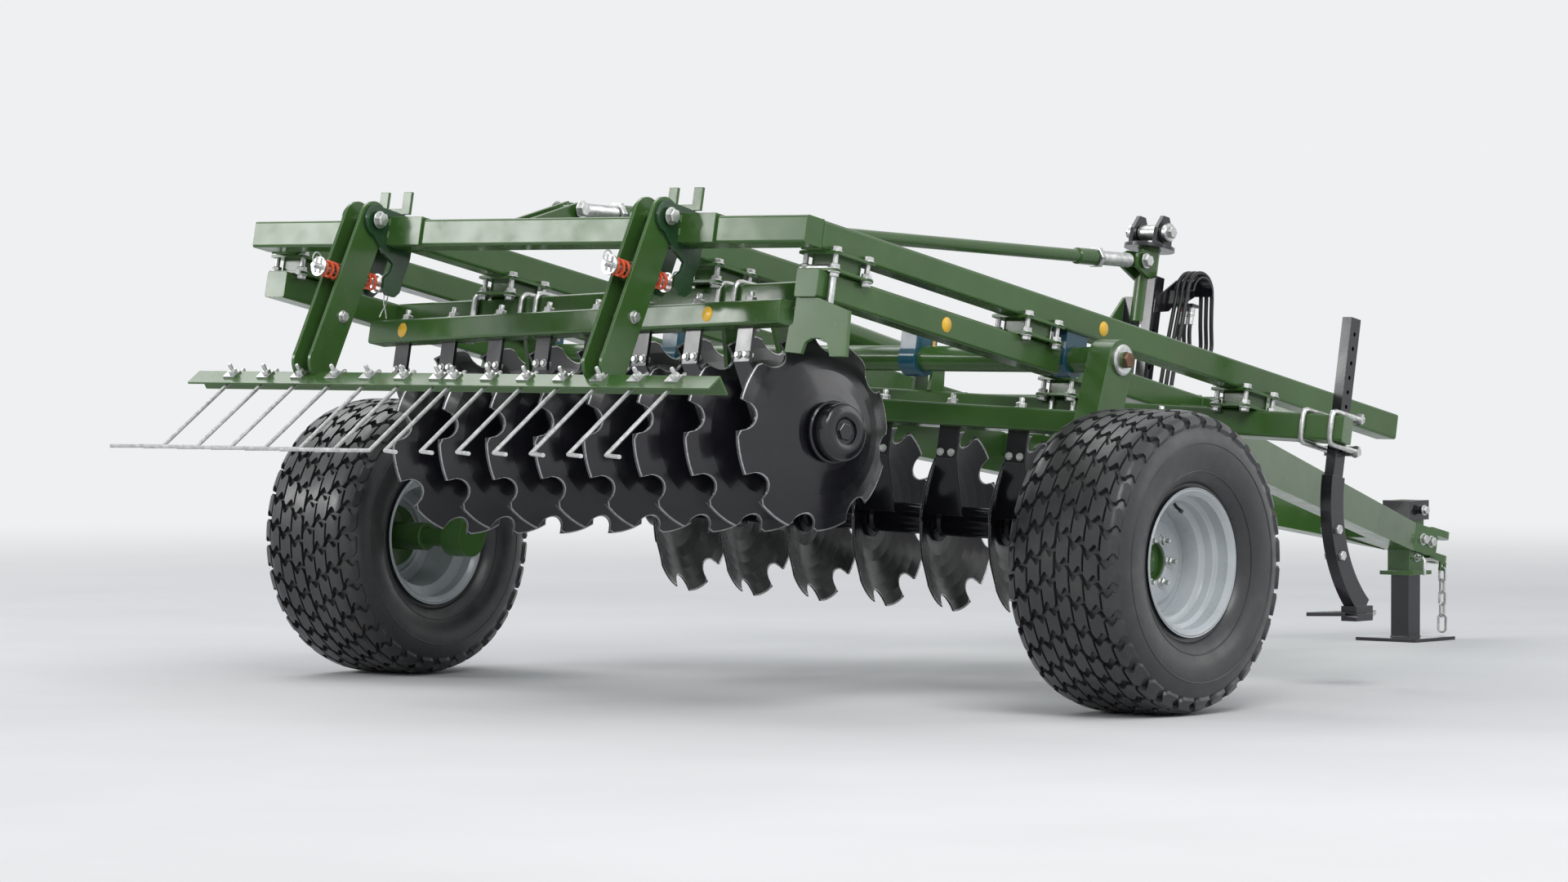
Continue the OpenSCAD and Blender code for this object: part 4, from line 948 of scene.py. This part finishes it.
def make_tine_clamps():
    part = Part("tine_clamps", "root", "zinc", ZINC)
    ridge = FRAME @ at(RIDGE_X, 0, RIDGE_Z)
    for side in (-1, 1):
        for i in range(TINES_A_SIDE):
            y = side * (FIRST_TINE_Y + i * TINE_PITCH)
            for face in (-1, 1):
                leg = ridge @ at(0, y, 0) @ turn("Y", 45 * face) @ at(face * 0.020, 0, 0)
                part.box(leg @ at(0, 0, 0.003), (0.034, 0.046, 0.006))
                stud = leg @ at(0, face * 0.010, 0.006)
                part.turned(stud, [(0.0065, 0), (0.0065, 0.030), (0.0045, 0.034)], 12)
                hexagon(part, stud, 0.024, 0.013)
    part.done()


# Top link: threads, lock nuts, sleeves and the heads of its pins
def make_link_details():
    part = Part("top_link_fittings", "root", "zinc", ZINC, GREEN)
    a = Vector((LINK_REAR[0], 0, LINK_REAR[1]))
    b = Vector((LINK_FRONT[0], 0, LINK_FRONT[1]))
    line = FRAME @ along(a, b)
    length = (b - a).length
    crest, root = 0.0235, 0.0218
    turns = 34
    for start, reach in ((0.030, 0.170), (length - 0.200, 0.165)):
        profile = []
        for i in range(turns):
            h = start + reach * i / turns
            profile += [(crest, h), (root, h + reach / turns / 2)]
        part.turned(line, profile, 24)
    for nut in (0.200, length - 0.225):
        hexagon(part, line @ at(0, 0, nut), 0.062, 0.022)
    part.finish = 1
    sleeve = [(0.022, 0), (0.027, 0.004), (0.027, 0.090), (0.022, 0.096)]
    for start in (0.225, length - 0.325):
        part.turned(line @ at(0, 0, start), sleeve, 28)
    part.finish = 0
    for point, reach in ((a, 0.048), (b, 0.046)):
        for end, facing in SIDES:
            bolt(part, FRAME @ Matrix.Translation(point) @ at(0, end * reach, 0) @ facing, 0.036, 0.014)
    part.done()


# Rock shaft: the cap and the bolt on each wheel arm, the grease fittings, and the arms' welds
def make_lift_details():
    part = Part("lift_fittings", "lift", "zinc", ZINC, BRASS, RUST, GREEN)
    rock = FRAME @ at(ROCK_X, 0, ROCK_Z)
    cap = [(0.046, 0), (0.046, 0.007), (0.040, 0.011), (0.030, 0.011)]
    fitting = [(0.007, 0), (0.007, 0.014), (0.004, 0.017), (0.006, 0.026)]
    for side, facing in SIDES:
        face = rock @ at(0, side * (ARM_Y + ARM_W / 2), 0) @ facing
        part.finish = 0
        part.turned(face, cap, 36)
        part.finish = 2
        hexagon(part, face @ at(0, 0, 0.014), 0.042, 0.018)
        part.finish = 1
        part.turned(rock @ at(0, side * 0.530, 0.036), fitting, 12)
        part.finish = 3
        weld(part, rock, [(x, side * (ARM_Y - ARM_W / 2), z) for x, z in circle(0.0385, 24)])
    part.done()


# Mast: pin heads, keeper rings, the pin's sleeve and welds
def make_mast_details():
    part = Part("mast_fittings", "root", "zinc", ZINC, BLACK, GREEN)
    pin = FRAME @ at(MAST_X, 0, MAST_PIN_Z)
    head = [(0.023, -0.012), (0.031, -0.012), (0.031, 0.002), (0.027, 0.006)]
    ring = [(0.029, 0), (0.036, 0), (0.036, 0.006), (0.029, 0.006)]
    sleeve = [(0.0215, 0), (0.0255, 0.002), (0.0255, 0.078), (0.0215, 0.080)]
    for side, facing in SIDES:
        face = pin @ at(0, side * 0.073, 0) @ facing
        part.turned(face, head, 32)
        hexagon(part, face @ at(0, 0, 0.006), 0.034, 0.014)
        part.finish = 1
        part.turned(face @ at(0, 0, -0.020), ring, 32)
        part.finish = 0
    part.turned(pin @ at(0, 0.040, 0) @ RIGHTWARD, sleeve, 32)
    part.finish = 2
    collar = FRAME @ at(MAST_X, 0, COLLAR_Z)
    weld(part, collar, [(x, y, 0) for x, y in circle(0.0365, 24)])
    for y in (-0.022, 0.022, -0.058, 0.058):
        weld(part, FRAME, [(MAST_X - 0.024, y, -TUBE), (MAST_X + 0.024, y, -TUBE)])
    part.done()


# Hose rack: nuts and ferrules at the lower block, and the couplers' tails, collars and coloured bands
HOSE_BAND = {"inner": 1, "middle": 2, "outer": 0}


def make_hose_fittings():
    part = Part("hose_fittings", "root", "zinc", ZINC, ORANGE, BLACK)
    ferrule = [(0.0072, 0), (0.0098, 0.001), (0.0098, 0.026), (0.0072, 0.028)]
    tail = [(0.0072, 0), (0.0095, 0.001), (0.0095, 0.026)]
    collar = [(0.0100, 0), (0.0116, 0.002), (0.0116, 0.012), (0.0100, 0.014)]
    band = [(0.0100, 0), (0.0110, 0.001), (0.0110, 0.007), (0.0100, 0.008)]
    (start_x, start_z), (end_x, end_z) = HOSE_ROUTE[0], HOSE_ROUTE[-1]
    for word, y in HOSE_Y.items():
        start = FRAME @ at(start_x, y, start_z)
        hexagon(part, start, 0.019, 0.010)
        part.turned(start @ at(0, 0, 0.010), ferrule, 18)
        end = FRAME @ at(end_x, y, end_z)
        part.turned(end @ at(0, 0, -0.026), tail, 18)
        part.turned(end @ at(0, 0, 0.004), collar, 20)
        part.finish = HOSE_BAND[word]
        part.turned(end @ at(0, 0, 0.019), band, 20)
        part.finish = 0
    part.done()


# Thick U-bolts that hold the lower frame, and the plate saddles beside the harrow's brackets
LEFT_CLAMP_Y = 0.585


def make_beam_clamps():
    part = Part("beam_clamps", "root", "zinc", ZINC, GREEN)
    thick, half = 0.011, 0.052
    left = FRAME @ at(rear_beam_x(LEFT_CLAMP_Y), LEFT_CLAMP_Y, LOWER_TOP) @ turn("Z", -REAR_SKEW)
    u_bolt(part, left, half, 0.110, thick)
    u_bolt(part, FRAME @ at(0.128, -SIDE_Y, LOWER_TOP) @ turn("Z", 90), half, 0.105, thick)
    for y in (-HARROW_Y, HARROW_Y):
        edge = y - 0.0505
        middle = edge - 0.065
        part.finish = 1
        part.box(FRAME @ at(-0.004, middle, -0.036), (0.008, 0.130, 0.084))
        part.box(FRAME @ at(0.040, middle, 0.003), (0.078, 0.130, 0.006))
        for z in (-0.020, -0.058):
            weld(part, FRAME, [(-0.008, edge - 0.002, z), (-0.008, edge - 0.002, z + 0.020)])
    part.done()


# Blank yellow discs on the beams: the place on its face, and the way it faces
def make_stickers():
    part = Part("yellow_discs", "root", "green_paint", YELLOW)
    rear_face = -SCRAPER_BACK - SCRAPER_BEAM / 2
    spots = [REAR_GANG @ at(rear_face, y, -0.257) @ REARWARD for y in (0.893, -0.546)]
    spots += [FRAME @ at(x, -HALF, z) @ RIGHTWARD for x, z in ((0.673, -0.178), (1.413, -0.042))]
    for spot in spots:
        part.turned(spot, [(0.022, 0), (0.022, 0.0006), (0.0215, 0.0009)], 40)
    part.done()


# Stand: bolts through the head, the locking pin with its handle, and the welds
def make_stand_details():
    head = Part("stand_fittings", "root", "zinc", ZINC, GREEN)
    column = at(AXLE_X + STAND_X, 0, 0)
    half = 0.045
    for side, facing in SIDES:
        bolt(head, column @ at(0, side * 0.077, 0.456) @ facing, 0.026, 0.012)
        bolt(head, column @ at(0, side * half, STAND_PIN_Z) @ facing, 0.022, 0.010)
    handle = [(0, -0.055, 0), (0, -0.085, 0), (0, -0.092, -0.008), (0, -0.092, -0.060)]
    head.tube(column @ at(-0.020, 0, STAND_PIN_Z), handle, 0.006, 12)
    head.finish = 1
    for side in (-1, 1):
        weld(head, column, [(-0.040, side * half, 0.244), (0.040, side * half, 0.244)])
    head.done()
    foot = Part("foot_weld", "stand", "black_paint", BLACK)
    corner = 0.0365
    square = [(-corner, -corner), (corner, -corner), (corner, corner), (-corner, corner), (-corner, -corner)]
    weld(foot, column, [(x, y, 0.012) for x, y in square])
    foot.done()


# Hitch: bolts of the clevis, and the corner tine's bolts and clamps
def make_front_fasteners():
    part = Part("front_fasteners", "root", "zinc", ZINC)
    for x in (HITCH_END - 0.090, HITCH_END - 0.040):
        for side, facing in SIDES:
            bolt(part, FRAME @ at(x, side * 0.060, -0.128) @ facing)
    half = 0.017
    clear = half * math.sin(math.radians(FRONT_SKEW))
    shank = FRONT_GANG @ at(FRONT_SET + TUBE / 2 + clear, -1.340, 0) @ turn("Z", -FRONT_SKEW)
    top, low = LOWER_TOP + 0.010, LOWER_BOTTOM - 0.010
    leg_y = 0.045
    for y in (-leg_y, leg_y):
        rear = -0.0966 - 0.25 * y
        leg = [(0.064, y, 0), (rear + 0.018, y, 0), (rear + 0.005, y, -0.004), (rear, y, -0.016)]
        bow = [(x, b, top + c) for x, b, c in leg] + [(x, b, low - c) for x, b, c in reversed(leg)]
        part.tube(shank, bow, 0.009, 12)
    for z in (top, low):
        part.box(shank @ at(0.056, 0, z), (0.010, 0.124, 0.030))
        for y in (-leg_y, leg_y):
            bolt(part, shank @ at(0.061, y, z) @ FORWARD, 0.026, 0.012)
    for x, z in ((0.049, -0.470), (0.085, -0.545)):
        for side, facing in SIDES:
            bolt(part, shank @ at(x, side * half, z) @ facing, 0.028, 0.012)
    part.done()


make_frame_welds()
make_frame_clamps()
make_gang_details("rear_gang_details", "gang_rear", REAR_GANG, LEFTWARD)
make_gang_details("front_gang_details", "gang_front", FRONT_GANG, RIGHTWARD)
make_hanger_fasteners("rear_hanger_bolts", REAR_GANG, REAR_SET, BEARING_SET)
make_hanger_fasteners("front_hanger_bolts", FRONT_GANG, FRONT_SET, -BEARING_SET)
make_scraper_fasteners("rear_scraper_bolts", REAR_GANG, 1)
make_scraper_fasteners("front_scraper_bolts", FRONT_GANG, -1)
for wheel_side, wheel_word in ((1, "left"), (-1, "right")):
    make_tyre(wheel_side, wheel_word)
    make_wheel(wheel_side, wheel_word)
make_harrow_fasteners()
make_tine_clamps()
make_link_details()
make_lift_details()
make_mast_details()
make_hose_fittings()
make_beam_clamps()
make_stickers()
make_stand_details()
make_front_fasteners()


# The studio: the floor fades into the backdrop between two distances from the machine
BACKDROP = (0.86, 0.87, 0.88)
FLOOR_HALF = 150.0
FADE_START = 4.5
FADE_END = 14.0
SKY = (0.90, 0.95, 1.0)
SKY_STRENGTH = 0.50


def straight_or_mirrored(tree):
    """1 where the camera sees a surface directly or in a mirror, and 0 for the light it gives."""
    rays = tree.nodes.new("ShaderNodeLightPath")
    either = rays.outputs["Is Camera Ray"]
    for word in ("Is Glossy Ray", "Is Transmission Ray"):
        more = tree.nodes.new("ShaderNodeMath")
        more.operation = "MAXIMUM"
        tree.links.new(either, more.inputs[0])
        tree.links.new(rays.outputs[word], more.inputs[1])
        either = more.outputs["Value"]
    return either


def make_floor():
    mesh = bpy.data.meshes.new("floor")
    corners = [(x * FLOOR_HALF, y * FLOOR_HALF, 0) for x, y in ((-1, -1), (1, -1), (1, 1), (-1, 1))]
    mesh.from_pydata(corners, [], [(0, 1, 2, 3)])
    floor = bpy.data.objects.new("floor", mesh)
    bpy.context.scene.collection.objects.link(floor)
    mat, tree, shader = new_material("floor", (0.74, 0.74, 0.73), 0.9)
    place = object_place(tree)
    tone = ramp(tree, noise(tree, place, 0.8, 3.0), [(0.3, grey(0.70)), (0.7, grey(0.75))])
    tree.links.new(tone, shader.inputs["Base Color"])
    glow = tree.nodes.new("ShaderNodeEmission")
    glow.inputs["Color"].default_value = (*BACKDROP, 1.0)
    length = tree.nodes.new("ShaderNodeVectorMath")
    length.operation = "LENGTH"
    tree.links.new(place, length.inputs[0])
    spread = tree.nodes.new("ShaderNodeMapRange")
    spread.inputs["From Min"].default_value = FADE_START
    spread.inputs["From Max"].default_value = FADE_END
    spread.interpolation_type = "SMOOTHSTEP"
    tree.links.new(length.outputs["Value"], spread.inputs["Value"])
    seen = tree.nodes.new("ShaderNodeMath")
    seen.operation = "MULTIPLY"
    tree.links.new(spread.outputs["Result"], seen.inputs[0])
    tree.links.new(straight_or_mirrored(tree), seen.inputs[1])
    blend = tree.nodes.new("ShaderNodeMixShader")
    tree.links.new(seen.outputs["Value"], blend.inputs["Fac"])
    tree.links.new(shader.outputs["BSDF"], blend.inputs[1])
    tree.links.new(glow.outputs["Emission"], blend.inputs[2])
    tree.links.new(blend.outputs["Shader"], tree.nodes["Material Output"].inputs["Surface"])
    mesh.materials.append(mat)


def make_world():
    world = bpy.data.worlds.new("studio")
    bpy.context.scene.world = world
    world.use_nodes = True
    tree = world.node_tree
    light = tree.nodes["Background"]
    light.inputs["Color"].default_value = (*SKY, 1.0)
    light.inputs["Strength"].default_value = SKY_STRENGTH
    seen = tree.nodes.new("ShaderNodeBackground")
    seen.inputs["Color"].default_value = (*BACKDROP, 1.0)
    blend = tree.nodes.new("ShaderNodeMixShader")
    tree.links.new(straight_or_mirrored(tree), blend.inputs["Fac"])
    tree.links.new(light.outputs["Background"], blend.inputs[1])
    tree.links.new(seen.outputs["Background"], blend.inputs[2])
    tree.links.new(blend.outputs["Shader"], tree.nodes["World Output"].inputs["Surface"])


# Each lamp: its place, its width and height, its power, and the point that it faces
LAMPS = {
    "key": ((-6.0, -7.0, 8.0), (5.0, 5.0), 560.0, (0.0, 0.0, 0.6)),
    "fill": ((5.0, -8.0, 5.0), (6.0, 6.0), 160.0, (0.0, 0.0, 0.6)),
    "back": ((0.9, 7.3, 9.0), (6.0, 6.0), 280.0, (0.0, 0.0, 0.6)),
    "rear": ((-7.4, 6.6, 4.0), (3.9, 1.6), 215.0, (-0.6, 0.4, 1.2)),
}


def make_lights():
    for name, (place, size, power, aim) in LAMPS.items():
        data = bpy.data.lights.new(name, "AREA")
        data.shape = "RECTANGLE"
        data.size, data.size_y = size
        data.energy = power
        lamp = bpy.data.objects.new(name, data)
        bpy.context.scene.collection.objects.link(lamp)
        lamp.location = place
        lamp.rotation_euler = (Vector(aim) - lamp.location).to_track_quat("-Z", "Y").to_euler()


make_floor()
make_world()
make_lights()
bpy.context.scene.view_settings.view_transform = "Standard"
